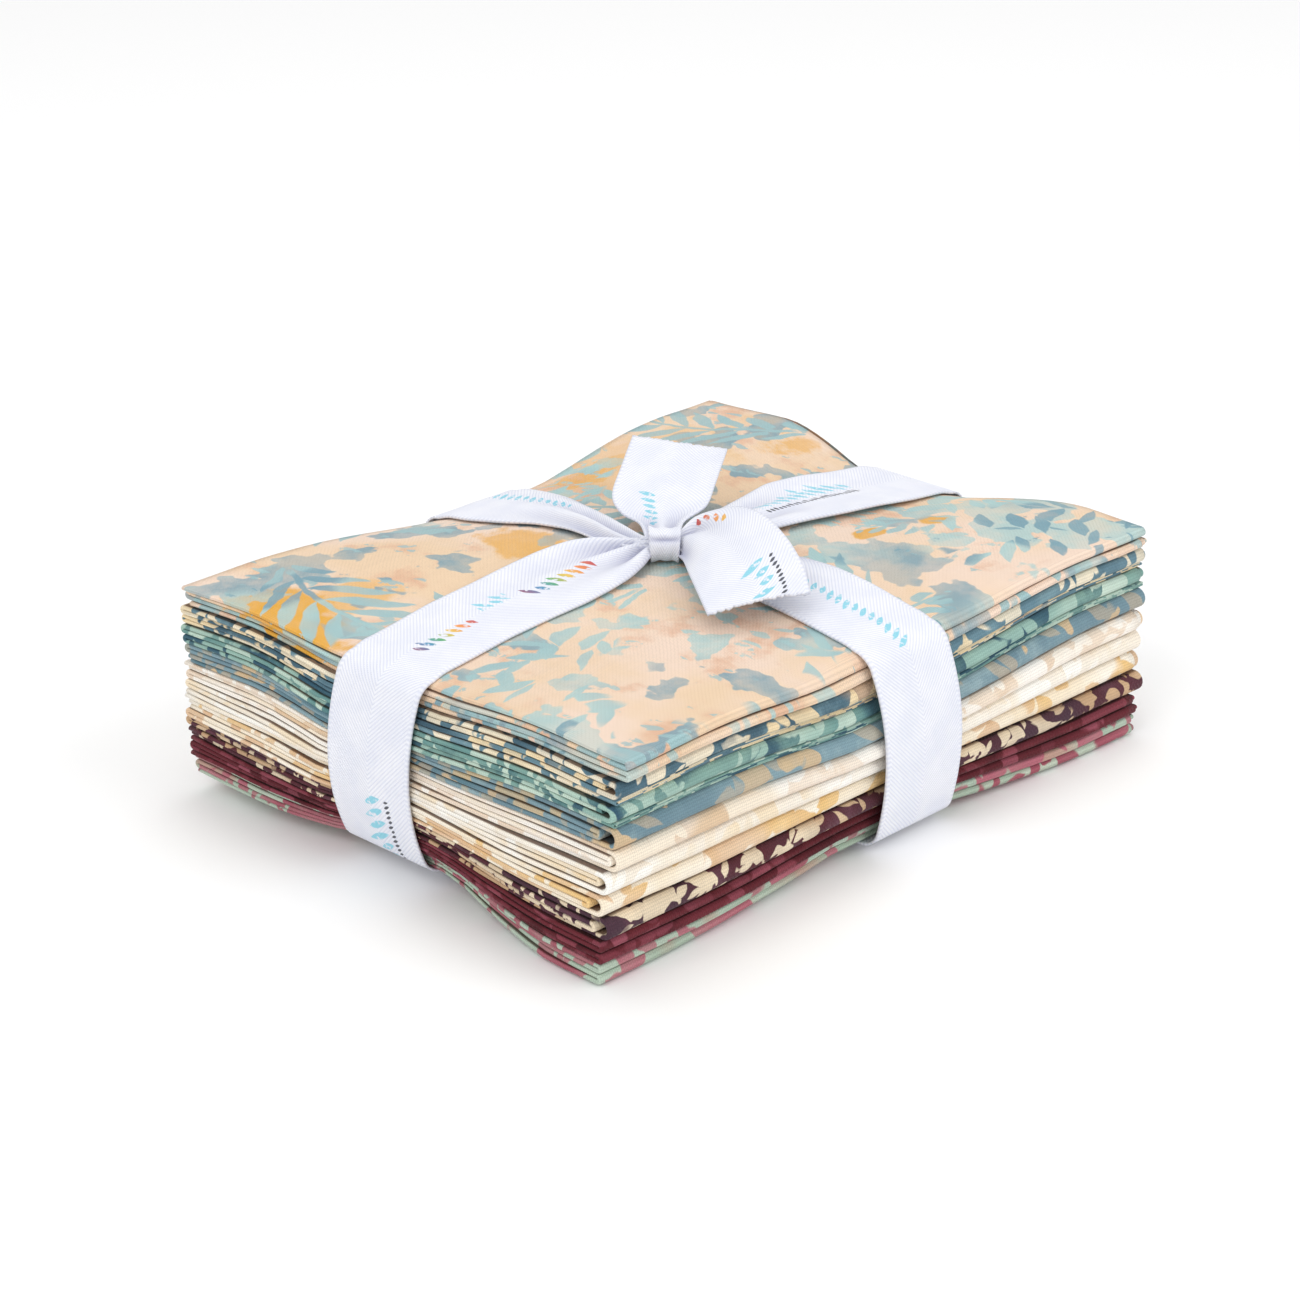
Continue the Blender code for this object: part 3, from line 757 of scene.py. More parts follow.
@dataclass(frozen=True)
class HerringboneWhite:
    """A white woven ribbon: slanted ribs that turn in its middle, with a small leafy print."""

    windows: tuple[Window, ...] = ()
    name: str = "white_ribbon"
    width: float = 20.0 * MM
    rib: float = 0.82 * MM

    def leaf_row(self, n: Nodes, along: Field, across: Field, step: float, tall: float) -> Field:
        """A row of slanted leaves of uneven height, each a lens between two arcs.

        Args:
            n: The material's nodes.
            along: The place along the row.
            across: The place across it, from its middle.
            step: From one leaf to the next.
            tall: The height of the tallest leaf.

        Returns:
            1 on the leaves, and 0 off them.
        """
        slanted = (along + across * 0.5) / step
        number = slanted.floor()
        chance = n.add("ShaderNodeTexWhiteNoise", {"noise_dimensions": "1D"}, {"W": number})
        height = Field(n, chance.outputs["Value"])
        side = abs(slanted - number - 0.5)
        share = abs(across + (height - 0.5) * (0.25 * tall)) / ((0.55 + 0.45 * height) * (tall / 2))
        return ((1 - share * share) * 0.30 - side).ramp(-0.05, 0.03)

    def printed(self, n: Nodes, along: Field, across: Field, ground: Tint) -> bpy.types.NodeSocket:
        """The print: leaves in all colours, or in aqua, some over a row of small dark seeds.

        Args:
            n: The material's nodes.
            along: The place along the ribbon.
            across: The place across it, from its middle.
            ground: The colour of the bare ribbon.

        Returns:
            The colour with the print.
        """
        brush = n.noise(n.joined(along * 900.0, across * 900.0), 1.0, 2.0).ramp(0.28, 0.48)
        hues = ("c22a30", "ee8a2c", "e6bf36", "43a558", "2b86b8", "8a3560")
        colour = ground
        for window in self.windows:
            step, tall, seeded = window.motif.value
            inside = along.above(window.start) * (1 - along.above(window.end))
            off = across - window.across
            leaves = self.leaf_row(n, along, off, step * MM, tall * MM) * inside * brush
            tint = "84d0e2"
            if window.motif in (Motif.RAINBOW, Motif.WARM):
                last = 1.0 if window.motif is Motif.RAINBOW else 2.8
                stops = [(k / (len(hues) - 1), linear(hue)) for k, hue in enumerate(hues)]
                share = (along - window.start) / ((window.end - window.start) * last)
                tint = n.add("ShaderNodeValToRGB", {"stops": stops}, {"Fac": share}).outputs[0]
            colour = n.blend(leaves * 0.9, colour, tint)
            if seeded:
                seeds = self.leaf_row(n, along, off - 0.6 * tall * MM, 1.0 * MM, 1.6 * MM) * inside
                colour = n.blend(seeds * 0.9, colour, "252a36")
        return colour

    def material(self) -> bpy.types.Material:
        """Builds the ribbon: ribs whose place along it shifts with the distance from its middle, with painted
        shade in their grooves, in the pleats' hollows and in the knot's crease.

        Returns:
            The material.
        """
        n = Nodes(self.name)
        flat = n.flat_place()
        across, along, _ = n.parts(flat)
        off_middle = abs(across)
        ribs = ((along + off_middle) * (2 * math.pi / self.rib)).sine()
        threads = ((along - off_middle * 0.4) * (2 * math.pi / (0.42 * MM))).sine()
        edge = off_middle.ramp(self.width / 2 - 0.95 * MM, self.width / 2 - 0.65 * MM)
        beads = (along * (2 * math.pi / (0.9 * MM))).sine()
        height = (ribs * 0.55 + threads * 0.2) * (1 - edge) + beads * edge * 0.7
        cloudy = n.noise(flat, 160.0, 3.0)
        white = n.blend(cloudy.ramp(0.3, 0.7), "f1f2f8", "eaecf5")
        # painted shade: lavender grey in the grooves between the ribs and between the edge's beads
        groove_shade = (ribs * -0.5 + 0.5).ramp(0.35, 1.0) * (1 - edge) + (beads * -0.5 + 0.5) * edge
        white = n.blend(groove_shade * 0.42, white, "c3c8de")
        colour = self.printed(n, along, across, white)
        # painted shade in the pleats' hollows near the knot and along the knot's crease
        painted_shade_tint = n.blend(n.unshaded_share(), "a2a3bd", "ffffff")
        colour = n.blend(1.0, colour, painted_shade_tint, "MULTIPLY")
        bump = n.add("ShaderNodeBump", {}, {"Strength": 0.5, "Distance": 0.12 * MM, "Height": height})
        shader = n.add(
            "ShaderNodeBsdfPrincipled",
            {},
            {
                "Base Color": colour,
                "Roughness": 0.62 + 0.1 * cloudy,
                "Normal": bump.outputs[0],
                "Sheen Weight": 0.06,
                "Sheen Roughness": 0.4,
                "Specular IOR Level": 0.25,
            },
        )
        return n.finish(shader)


@dataclass(frozen=True)
class BookFold:
    """The four plies of one layer, a sheet folded in half and in half again along X.

    From one free end, the cloth runs along the lowest ply, round the outer turn at -X, back
    along the top ply, round a turn at +X, along the second ply, round the inner turn at -X
    and along the third ply to its other free end.
    """

    pitch: float = 0.245 * MM
    run_steps: int = 24
    turn_steps: int = 6

    def profile(self) -> dict[str, np.ndarray]:
        """The line that the cloth follows.

        Each point lies a share of the way from an end place at -X to an end place at +X, plus
        a bulge outwards in a turn. A turn is a half circle about a height between two plies.

        Returns:
            share, bulge and height of each point, facing (how far it faces sideways, 0 to 1),
            and which end places it hangs on: low_kind is 0 for the outer turn and 1 for the
            inner one, and high_kind is 0 for the turn at +X, 1 for the third ply's free end
            and 2 for the lowest ply's.
        """
        edge = np.linspace(-1.0, 1.0, self.run_steps)
        run = 0.5 + 0.5 * (0.45 * edge + 0.55 * np.sin(edge * math.pi / 2))
        angle = np.linspace(0.0, math.pi, self.turn_steps + 2)[1:-1]
        p = self.pitch
        flat_run, sine = 0.0 * run, np.sin(angle)
        first_end, last_end = flat_run.copy(), flat_run.copy()
        first_end[0] = last_end[-1] = 1.0
        pieces = [
            (run[::-1], flat_run, -1.5 * p + flat_run, first_end, 0, 2),
            (0.0 * angle, -1.5 * p * sine, -1.5 * p * np.cos(angle), sine, 0, 0),
            (run, flat_run, 1.5 * p + flat_run, flat_run, 0, 0),
            (0.0 * angle + 1, 0.5 * p * sine, p + 0.5 * p * np.cos(angle), sine, 0, 0),
            (run[::-1], flat_run, 0.5 * p + flat_run, flat_run, 1, 0),
            (0.0 * angle, -0.5 * p * sine, 0.5 * p * np.cos(angle), sine, 1, 0),
            (run, flat_run, -0.5 * p + flat_run, last_end, 1, 1),
        ]
        columns = {
            name: np.concatenate([piece[i] for piece in pieces])
            for i, name in enumerate(("share", "bulge", "height", "facing"))
        }
        columns["low_kind"] = np.concatenate([np.full(len(piece[0]), piece[4]) for piece in pieces])
        columns["high_kind"] = np.concatenate([np.full(len(piece[0]), piece[5]) for piece in pieces])
        return columns


@dataclass
class FatQuarter:
    """One cut of cotton, folded and laid at its place in the stack.

    inset is how far it stands in from the stack's -X, +X, -Y and +Y sides in mm, turn is its
    turn about Z in degrees, and hollow is how far the turns that lie inside a wide one stand
    back from it at -Y and +Y, in mm.
    """

    node: str
    slot: str
    place: int
    fold: FoldKind
    inset: tuple[float, float, float, float]
    turn: float
    hollow: tuple[float, float]
    dye: Batik
    run_steps: int = 20
    flat: tuple[float, float] = (0.559, 0.457)
    stack_pitch: float = 4.16 * MM
    thickness: float = 4.04 * MM
    layers: int = 4
    ply: float = 0.19 * MM
    book: BookFold = BookFold()

    def layer_line(self, rng: np.random.Generator) -> dict[str, np.ndarray]:
        """The middle line of the four layers across Y.

        A layer is a straight run at its level, and a turn is a half circle between two levels.
        A turn inside a wide one stands back from it by the hollow.

        Args:
            rng: The source of the small differences between turns.

        Returns:
            y, height and the normal (normal_y, normal_z) of each point, and flat, its place
            along the cloth.
        """
        pitch = self.thickness / self.layers
        order, first_side = self.fold.value
        heights = [self.thickness - pitch * (level + 0.5) for level in order]
        sides = [-first_side * (-1) ** i for i in range(self.layers - 1)]
        radii = [(a - b) / 2 for a, b in zip(heights, heights[1:])]
        centres = [(a + b) / 2 for a, b in zip(heights, heights[1:])]
        reach = []
        for side, radius in zip(sides, radii):
            widest = max(abs(r) for s, r in zip(sides, radii) if s == side)
            back = self.hollow[0 if side < 0 else 1] * MM if abs(radius) < widest else 0.0
            ragged = 0.35 * MM * rng.uniform()
            reach.append(RELIEF.half_y - pitch / 2 - widest - back - ragged)

        def end_reach(side: int, height: float) -> float:
            """Where a free end stops: inside a wide turn that holds it, otherwise near the rim."""
            held = [
                place
                for s, centre, radius, place in zip(sides, centres, radii, reach)
                if s == side and abs(height - centre) < abs(radius)
            ]
            return min(held) - 1.5 * MM if held else RELIEF.half_y - (0.5 + 1.2 * rng.uniform()) * MM

        edge = np.linspace(-1.0, 1.0, self.run_steps)
        shares = 0.5 + 0.5 * (0.6 * edge + 0.4 * np.sin(edge * math.pi / 2))
        y, z, normal_y, normal_z = [], [], [], []
        for level in range(self.layers):
            heading = -first_side * (-1) ** level
            start = end_reach(-heading, heights[level]) if level == 0 else reach[level - 1]
            stop = end_reach(heading, heights[level]) if level == self.layers - 1 else reach[level]
            run = -heading * start + shares * heading * (start + stop)
            y.append(run)
            z.append(np.full(len(run), heights[level]))
            normal_y.append(np.zeros(len(run)))
            normal_z.append(np.full(len(run), float(heading)))
            if level < self.layers - 1:
                steps = 10 if abs(radii[level]) > pitch else 7
                angle = np.linspace(0.0, math.pi, steps + 1)[1:-1]
                down = math.copysign(1.0, radii[level])
                y.append(heading * (reach[level] + abs(radii[level]) * np.sin(angle)))
                z.append(centres[level] + radii[level] * np.cos(angle))
                normal_y.append(down * np.sin(angle))
                normal_z.append(heading * np.cos(angle))
        y, z, normal_y, normal_z = (np.concatenate(part) for part in (y, z, normal_y, normal_z))
        steps = np.hypot(np.diff(y), np.diff(z))
        flat = np.concatenate([[0.0], np.cumsum(steps)])
        return {"y": y, "z": z, "normal_y": normal_y, "normal_z": normal_z, "flat": flat}

    def sheet(self) -> Grid:
        """The folded sheet.

        A point is at x on the book fold, and off the layer line by its ply's height along the
        line's normal. Then its ends are made a little uneven, it is turned about Z, the ribbon
        draws its sides in, and its height follows the stack's relief.

        Returns:
            The grid, with rows along Y's line.
        """
        rng = np.random.default_rng(100 + self.place)
        line, book = self.layer_line(rng), self.book.profile()
        s = line["flat"]
        wave = [0.40 * MM * ripple(rng, s, 0.15) for _ in range(5)]
        low = [
            -RELIEF.half_x + self.inset[0] * MM + 1.9 * self.book.pitch + wave[0],
            -RELIEF.half_x + (self.inset[0] + 0.35) * MM + 1.9 * self.book.pitch + wave[0] + abs(wave[1]),
        ]
        end = RELIEF.half_x - self.inset[1] * MM
        high = [
            end - 0.9 * self.book.pitch + wave[2],
            end - 0.8 * MM + 2.0 * wave[3],
            end - 1.3 * MM + 2.0 * wave[4],
        ]
        low_at = np.stack(low, -1)[:, book["low_kind"]]
        high_at = np.stack(high, -1)[:, book["high_kind"]]
        x = low_at + (high_at - low_at) * book["share"] + book["bulge"]
        y = line["y"][:, None] + line["normal_y"][:, None] * book["height"]
        z = line["z"][:, None] + line["normal_z"][:, None] * book["height"]
        rim = smooth_step((np.abs(y) - 25 * MM) / (25 * MM))
        shift = np.where(y < 0, self.inset[2], -self.inset[3]) * MM
        y = y + rim * shift + rim * 0.22 * MM * ripple(rng, x + 0.3 * s[:, None], 0.09)
        turn = math.radians(self.turn)
        x, y = x - turn * y, y + turn * x
        underside = RELIEF.height - (self.place + 1) * self.stack_pitch
        height = underside + (self.stack_pitch - self.thickness) / 2 + z
        x, y = RELIEF.pulled(x, y, height)
        return Grid(self.settled(x, y, height), self.laid_flat(x, line, book), self.unshaded_plies(z, line, book))

    def unshaded_plies(self, z: np.ndarray, line: dict[str, np.ndarray], book: dict[str, np.ndarray]) -> np.ndarray:
        """How open each point lies, which sets its painted shade: 1 where it faces sideways, on top of the
        stack or under it.
        """
        facing_y = np.abs(line["normal_y"])
        facing_y[[0, -1]] = 1.0
        facing = np.maximum(facing_y[:, None], book["facing"][None])
        share = smooth_step((facing - 0.05) / 0.3)
        if self.place == 0:
            share = np.maximum(share, z > self.thickness - self.book.pitch)
        if self.place == len(CLOTHS) - 1:
            share = np.maximum(share, z < self.book.pitch)
        return share

    def settled(self, x: np.ndarray, y: np.ndarray, height: np.ndarray) -> np.ndarray:
        """Points with their heights in the relief, plus a slow unevenness that the plies share.

        The creases fade downwards through the top cloth, and towards the ribbon's strips.

        Args:
            x: The points' x.
            y: The points' y.
            height: Their heights in the flat stack.

        Returns:
            The points.
        """
        sway = 0.16 * MM * (
            np.sin(x * 71 + y * 38 + height * 160 + 1.0)
            + np.sin(y * 96 - x * 33 - height * 210 + 2.6)
            + 0.6 * np.sin(x * 150 + y * 120 + height * 90 + 4.0)
        )
        free = smooth_step(height / (6 * MM))
        in_top = smooth_step((height - RELIEF.height + self.stack_pitch) / self.stack_pitch)
        loose = (1 - RELIEF.share(x, RELIEF.feet_x) ** 4) * (1 - RELIEF.share(y, RELIEF.feet_y) ** 4)
        creased = in_top * loose * sum(crease.height(x, y) for crease in CREASES)
        return np.stack([x, y, RELIEF.warped(x, y, height) + sway * free + creased], -1)

    def laid_flat(
        self, x: np.ndarray, line: dict[str, np.ndarray], book: dict[str, np.ndarray]
    ) -> np.ndarray:
        """Each point's place on the flat cloth: along the book fold, and along the layer line."""
        steps = np.hypot(np.diff(x[0]), np.diff(book["height"]))
        along = np.concatenate([[0.0], np.cumsum(steps)])
        u, v = np.meshgrid(along, line["flat"])
        return np.stack([u, v], -1)

    def build(self) -> bpy.types.Object:
        """Makes the cloth, dresses it, hangs it on the root body, and hides the CAD part that it stands in
        for.

        Returns:
            The cloth's object.
        """
        piece = mesh_piece("folded_" + self.node, [self.sheet()])
        thicken(piece, self.ply)
        piece.data.materials.append(self.dye.material())
        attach(piece, "root")
        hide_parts(self.node)
        return piece


WARM_SPOTS = (
    Spot(-66.0, 27.0, 9.0, 15.0),
    Spot(-50.0, 26.0, 12.0, 6.0, 0.6),
    Spot(-15.0, 26.0, 7.0, 9.0, 0.8),
    Spot(19.0, 43.0, 10.0, 5.0, 0.7),
    Spot(57.0, 27.0, 9.0, 11.0, 0.7),
    Spot(38.0, 38.0, 32.0, 16.0, 0.35),
    Spot(46.0, -22.0, 3.0, 3.0),
    Spot(33.0, -18.0, 4.0, 2.5),
)
COOL_SPOTS = (
    Spot(27.0, -30.0, 10.0, 12.0),
    Spot(20.0, -49.0, 8.0, 6.0),
    Spot(60.0, -40.0, 10.0, 14.0),
    Spot(-68.0, -16.0, 4.0, 8.0),
    Spot(-69.0, -41.0, 4.0, 6.0),
    Spot(-40.0, -50.0, 6.0, 4.0),
    Spot(47.0, 21.0, 9.0, 9.0),
    Spot(-48.0, 38.0, 18.0, 10.0),
    Spot(-38.0, 24.0, 9.0, 8.0),
    Spot(2.0, 34.0, 4.0, 6.0),
)

# Top to bottom: the node, the slot, the fold, the insets, the turn, the hollows, and the dyes
CLOTHS = [
    FatQuarter(
        "cloth_01_peach_leaf", "peach_leaf_cotton", 0, FoldKind.ZIGZAG, (1.2, 0.4, 0.2, 0.8), 1.1, (0.0, 0.0),
        Batik(
            "peach_leaf", "ecd4c1", "e8ccac", "dbae90", "abcac9", "7b9fac", "e0a430", 1.0,
            fronds=1.0, blobs=0.0, dots=0.8, leaf_size=6.8 * MM, leaf_keep=0.82,
            warm=WARM_SPOTS, cool=COOL_SPOTS,
        ),
        run_steps=40,
        book=BookFold(run_steps=44),
    ),
    FatQuarter(
        "cloth_02_slate_cream", "slate_cream_cotton", 1, FoldKind.ROLLED,
        (0.5, 0.3, 0.7, 0.3), 0.6, (0.8, 1.4),
        Batik(
            "slate_cream", "6a8b99", "44606f", "7f9ea7", "f1e5cc", "efd9b0", "c9ab8e", 2.0, 0.15,
            leaf_size=5.0 * MM, blob_size=7.0 * MM, blob_cover=0.42,
        ),
    ),
    FatQuarter(
        "cloth_03_sea_green", "sea_green_cotton", 2, FoldKind.ROLLED, (0.2, 0.0, 0.9, 0.6), 0.4, (1.8, 0.6),
        Batik(
            "sea_green", "64908f", "86aaa0", "3f6670", "c6dacb", "9bbdb1", "35566a", 3.0, 0.6,
            leaf_size=4.2 * MM, blob_size=8.0 * MM, blob_cover=0.35,
        ),
    ),
    FatQuarter(
        "cloth_04_blue_grey", "blue_grey_cotton", 3, FoldKind.BOOK, (0.6, 0.2, 0.4, 1.0), 0.2, (2.6, 1.5),
        Batik(
            "blue_grey", "84a0aa", "708c98", "9bb2b7", "cbb794", "d3b893", "5f818d", 4.0, 0.2,
            leaves=0.5, blob_size=9.0 * MM, blob_cover=0.12,
        ),
    ),
    FatQuarter(
        "cloth_05_blush", "blush_cotton", 4, FoldKind.BOOK_OVER, (0.9, 0.5, 0.1, 0.4), 0.0, (0.6, 1.0),
        Batik(
            "blush", "f5e9db", "ecdac6", "e3c9ad", "fbf6ee", "f5e8d4", "dfc2a0", 5.0, 0.15,
            blob_size=11.0 * MM, blob_cover=0.45,
        ),
    ),
    FatQuarter(
        "cloth_06_ivory", "ivory_cotton", 5, FoldKind.BOOK, (0.4, 0.3, 0.9, 0.2), -0.3, (1.2, 0.4),
        Batik(
            "ivory", "faf4ea", "f4eada", "eddec4", "fdfbf5", "f3e2c6", "ebd3aa", 6.0, 0.1,
            blob_size=11.0 * MM, blob_cover=0.45,
        ),
    ),
    FatQuarter(
        "cloth_07_golden_leaf", "golden_leaf_cotton", 6, FoldKind.BOOK_OVER,
        (0.1, 0.1, 1.3, 0.7), -0.4, (2.2, 0.8),
        Batik(
            "golden_leaf", "f9f0e0", "f3e3c8", "faf4e8", "ebc586", "e0bd98", "f0cf90", 7.0, 0.12,
            leaf_size=6.0 * MM, blob_size=10.0 * MM, blob_cover=0.25,
        ),
    ),
    FatQuarter(
        "cloth_08_plum", "plum_cotton", 7, FoldKind.BOOK, (0.5, 0.2, 0.6, 0.3), -0.7, (1.6, 2.4),
        Batik(
            "plum", "4b333f", "5a2c33", "6a4350", "ead9bd", "cbaa86", "3a222c", 8.0, 0.2,
            leaf_size=3.4 * MM, blob_size=5.0 * MM, blob_cover=0.26,
        ),
    ),
    FatQuarter(
        "cloth_09_maroon", "maroon_cotton", 8, FoldKind.ZIGZAG, (0.3, 0.6, 1.0, 0.9), -1.0, (0.0, 0.0),
        Batik(
            "maroon", "5a1f27", "6b2a33", "471a20", "a05564", "8a424e", "431318", 9.0, 0.2,
            leaves=0.5, blob_size=13.0 * MM, blob_cover=0.25, contrast=0.8,
        ),
    ),
    FatQuarter(
        "cloth_10_sage_rose", "sage_rose_cotton", 9, FoldKind.ZIGZAG, (1.0, 0.9, 1.4, 1.2), -1.2, (0.0, 0.0),
        Batik(
            "sage_rose", "b9cab9", "a9bca9", "c6cfbd", "a65a68", "b86c7a", "c09a8c", 10.0, 0.15,
            blob_size=9.0 * MM, blob_cover=0.35,
        ),
    ),
]


@dataclass(frozen=True)
class Path:
    """The middle line of a strip, and how it is shaped across: arrays with a row for each station.

    middle and across are points and unit vectors. width is the strip's width, arch how far its
    middle stands off its edges, and first_edge and second_edge how far each edge is turned up.
    Near the knot the strip lies in waves, as high as pleat. side is -1 where the strip's face is
    on the other side of its run and its across.
    """

    middle: np.ndarray
    across: np.ndarray
    width: np.ndarray
    arch: np.ndarray
    pleat: np.ndarray
    first_edge: np.ndarray
    second_edge: np.ndarray
    start: float
    side: float = 1.0
    waves: float = 2.4
    phase: float = 0.6

    def along(self) -> np.ndarray:
        """Each station's place along the ribbon's print."""
        steps = np.linalg.norm(np.diff(self.middle, axis=0), axis=1)
        return self.start + np.concatenate([[0.0], np.cumsum(steps)])

    def place_of(self, point: tuple[float, float, float]) -> float:
        """The place along the print of the station nearest to a point given in mm."""
        away = np.linalg.norm(self.middle - np.array(point) * MM, axis=1)
        return float(self.along()[np.argmin(away)])

    def surface(self, columns: int) -> Grid:
        """The strip's grid.

        A point is off the middle line by its share of the half width. It stands off the strip's
        plane by the arch, a parabola of the share, by each edge's rise, which starts at a third
        of the half width, and by the waves, a cosine of the share.

        Args:
            columns: How many columns the grid has.

        Returns:
            The grid. It is less open in the hollows of the waves, which take painted shade.
        """
        share = np.linspace(-1.0, 1.0, columns)
        run = np.gradient(self.middle, axis=0)
        normal = np.cross(run, self.across)
        normal *= self.side / np.linalg.norm(normal, axis=1)[:, None]
        wave = np.cos(self.waves * math.pi * share + self.phase)
        lift = (
            self.arch[:, None] * (1 - share**2)
            + self.first_edge[:, None] * smooth_step((-share - 0.3) / 0.7)
            + self.second_edge[:, None] * smooth_step((share - 0.3) / 0.7)
            + self.pleat[:, None] * wave
        )
        points = (
            self.middle[:, None]
            + self.across[:, None] * (self.width[:, None] / 2 * share)[..., None]
            + normal[:, None] * lift[..., None]
        )
        v, u = np.meshgrid(self.along(), share * 10.0 * MM, indexing="ij")
        # painted shade in the hollows of the pleats' waves
        hollow = np.clip(self.pleat[:, None] / MM, 0.0, 1.0) * (0.5 - 0.5 * wave)
        return Grid(points, np.stack([u, v], -1), 1 - 0.75 * hollow)


@dataclass
class TiedRibbon:
    """The ribbon: its two ways round the stack, its free ends and its knot."""

    node: str = "ribbon"
    slot: str = "white_ribbon"
    width: float = 20.0 * MM
    thickness: float = 0.42 * MM
    flat: tuple[float, float] = (0.020, 0.80)
    side_gap: float = 0.60 * MM
    lift: float = 0.42 * MM
    edge_radius: float = 2.6 * MM
    knot_at: tuple[float, float] = (-3.5 * MM, -1.0 * MM)
    knot_heading: float = math.radians(-46)

    def columns(self, axis: str, place: np.ndarray) -> dict[str, np.ndarray]:
        """A run's named sizes at each place: straight lines between its table's rows, smoothed."""
        table = np.array(TOP_RUNS[axis]) * MM
        near = np.linspace(-1.5, 1.5, 5) * MM
        return {
            name: np.mean([np.interp(place + step, table[:, 0], table[:, i]) for step in near], axis=0)
            for i, name in enumerate(RUN_COLUMNS)
        }

    def way_round(self, axis: str, start: float) -> Path:
        """The ribbon's way from the knot, round the stack along an axis, and back to the knot.

        On top and underneath it lies on the relief. Down a side it bulges as the stack does,
        with a quarter circle at each rim. Towards the knot it rises, narrows and gathers.

        Args:
            axis: "x" or "y".
            start: The place along the print where the way starts.

        Returns:
            The way's path.
        """
        along_x = axis == "x"
        half = (RELIEF.half_x if along_x else RELIEF.half_y) + self.side_gap
        drawn_in = RELIEF.drawn_x if along_x else RELIEF.drawn_y
        knot, r = self.knot_at[0 if along_x else 1], self.edge_radius
        low_foot, high_foot = LOW_LINES[axis]
        angle = np.linspace(0.0, math.pi / 2, 9)[1:-1]
        parts = []

        def height(place: np.ndarray, across: np.ndarray, below: bool) -> np.ndarray:
            """The relief at the run's middle, with the ribbon's clearance."""
            x, y = (place, across) if along_x else (across, place)
            if below:
                crossing = 0.45 * MM * (1 - smooth_step((np.abs(place) - 9 * MM) / (6 * MM)))
                return RELIEF.under(x, y) - self.lift - (0.0 if along_x else crossing)
            return RELIEF.top(x, y) + self.lift

        def add(place: np.ndarray, across: np.ndarray, z: np.ndarray, sizes: dict | None = None) -> None:
            """Adds stations. Without a table's sizes they are of the full width and plain."""
            plain = {"width": self.width + 0 * place, "rise": 0 * place}
            for name in RUN_COLUMNS[4:]:
                plain[name] = 0 * place
            parts.append({"place": place, "across": across, "z": z} | {k: (sizes or plain)[k] for k in plain})

        def top_run(place: np.ndarray) -> None:
            """Adds a run on top."""
            sizes = self.columns(axis, place)
            add(place, sizes["across"], height(place, sizes["across"], False) + sizes["rise"], sizes)

        def rim(sign: int, below: bool) -> float:
            """How far out the rounded rim starts."""
            return half - r - drawn_in[0 if sign < 0 else 1][1 if below else 0] * MM

        def side(sign: int, downwards: bool) -> None:
            """Adds a side with its two rounded rims."""
            top_across = self.columns(axis, np.array([sign * rim(sign, False)]))["across"][0]
            low_across = (low_foot if sign < 0 else high_foot) * MM
            z_top = height(np.array(sign * rim(sign, False)), np.array(top_across), False)
            z_low = height(np.array(sign * rim(sign, True)), np.array(low_across), True)
            upright = np.linspace(z_top - r, z_low + r, 18)
            turned_out, turned_in = half - r + r * np.sin(angle), half - r + r * np.cos(angle)
            out = np.concatenate([turned_out, np.full(len(upright), half), turned_in])
            z = np.concatenate([z_top - r + r * np.cos(angle), upright, z_low + r - r * np.sin(angle)])
            share = (z - z_low) / (z_top - z_low)
            out = out - RELIEF.drawn(drawn_in, np.full(len(z), sign > 0), share * RELIEF.height)
            across = low_across + (top_across - low_across) * share
            order = slice(None) if downwards else slice(None, None, -1)
            add(sign * out[order], across[order], z[order])

        ease = np.linspace(0.0, 1.0, 80) ** 1.3
        top_run(knot - 0.8 * MM - (rim(-1, False) + knot - 0.8 * MM) * ease)
        side(-1, True)
        under = np.linspace(-rim(-1, True), rim(1, True), 60)
        low_line = np.interp(under, [under[0], under[-1]], [low_foot * MM, high_foot * MM])
        add(under, low_line, height(under, low_line, True))
        side(1, False)
        top_run(knot + 0.8 * MM + (rim(1, False) - knot - 0.8 * MM) * ease[::-1])
        whole = {name: np.concatenate([part[name] for part in parts]) for name in parts[0]}
        place, across, z = whole["place"], whole["across"], whole["z"]
        middle = np.stack([place, across, z] if along_x else [across, place, z], -1)
        sideways = np.tile([0.0, -1.0, 0.0] if along_x else [1.0, 0.0, 0.0], (len(place), 1))
        shaping = {name: whole[name] for name in ("width", "arch", "pleat", "first_edge", "second_edge")}
        return Path(middle, sideways, **shaping, start=start, phase=0.6 if along_x else 2.2)

    def free_end(self, name: str, start: float) -> Path:
        """A free end, on smooth curves through its edges' named points, in waves at the knot.

        Args:
            name: Its name in FREE_ENDS.
            start: The place along the print where it starts.

        Returns:
            The end's path.
        """
        edges = np.array(FREE_ENDS[name]) * MM
        at = np.linspace(0.0, len(edges) - 1.0, 64)
        left, right = (smooth_curve(edges[:, i], at) for i in (0, 1))
        across = right - left
        width = np.linalg.norm(across, axis=1)
        share = np.linspace(0.0, 1.0, len(at))
        level = 0 * share
        pleat = 0.9 * MM * (1 - smooth_step(share * 2.0))
        behind = name == "end_behind"
        arch = (0.0 if behind else 0.8 * MM) * smooth_step(share * 3.0)
        return Path(
            (left + right) / 2, across / width[:, None], width, level + arch, pleat, level, level,
            start=start, side=-1.0 if behind else 1.0, waves=2.0, phase=0.4 if behind else 2.0,
        )

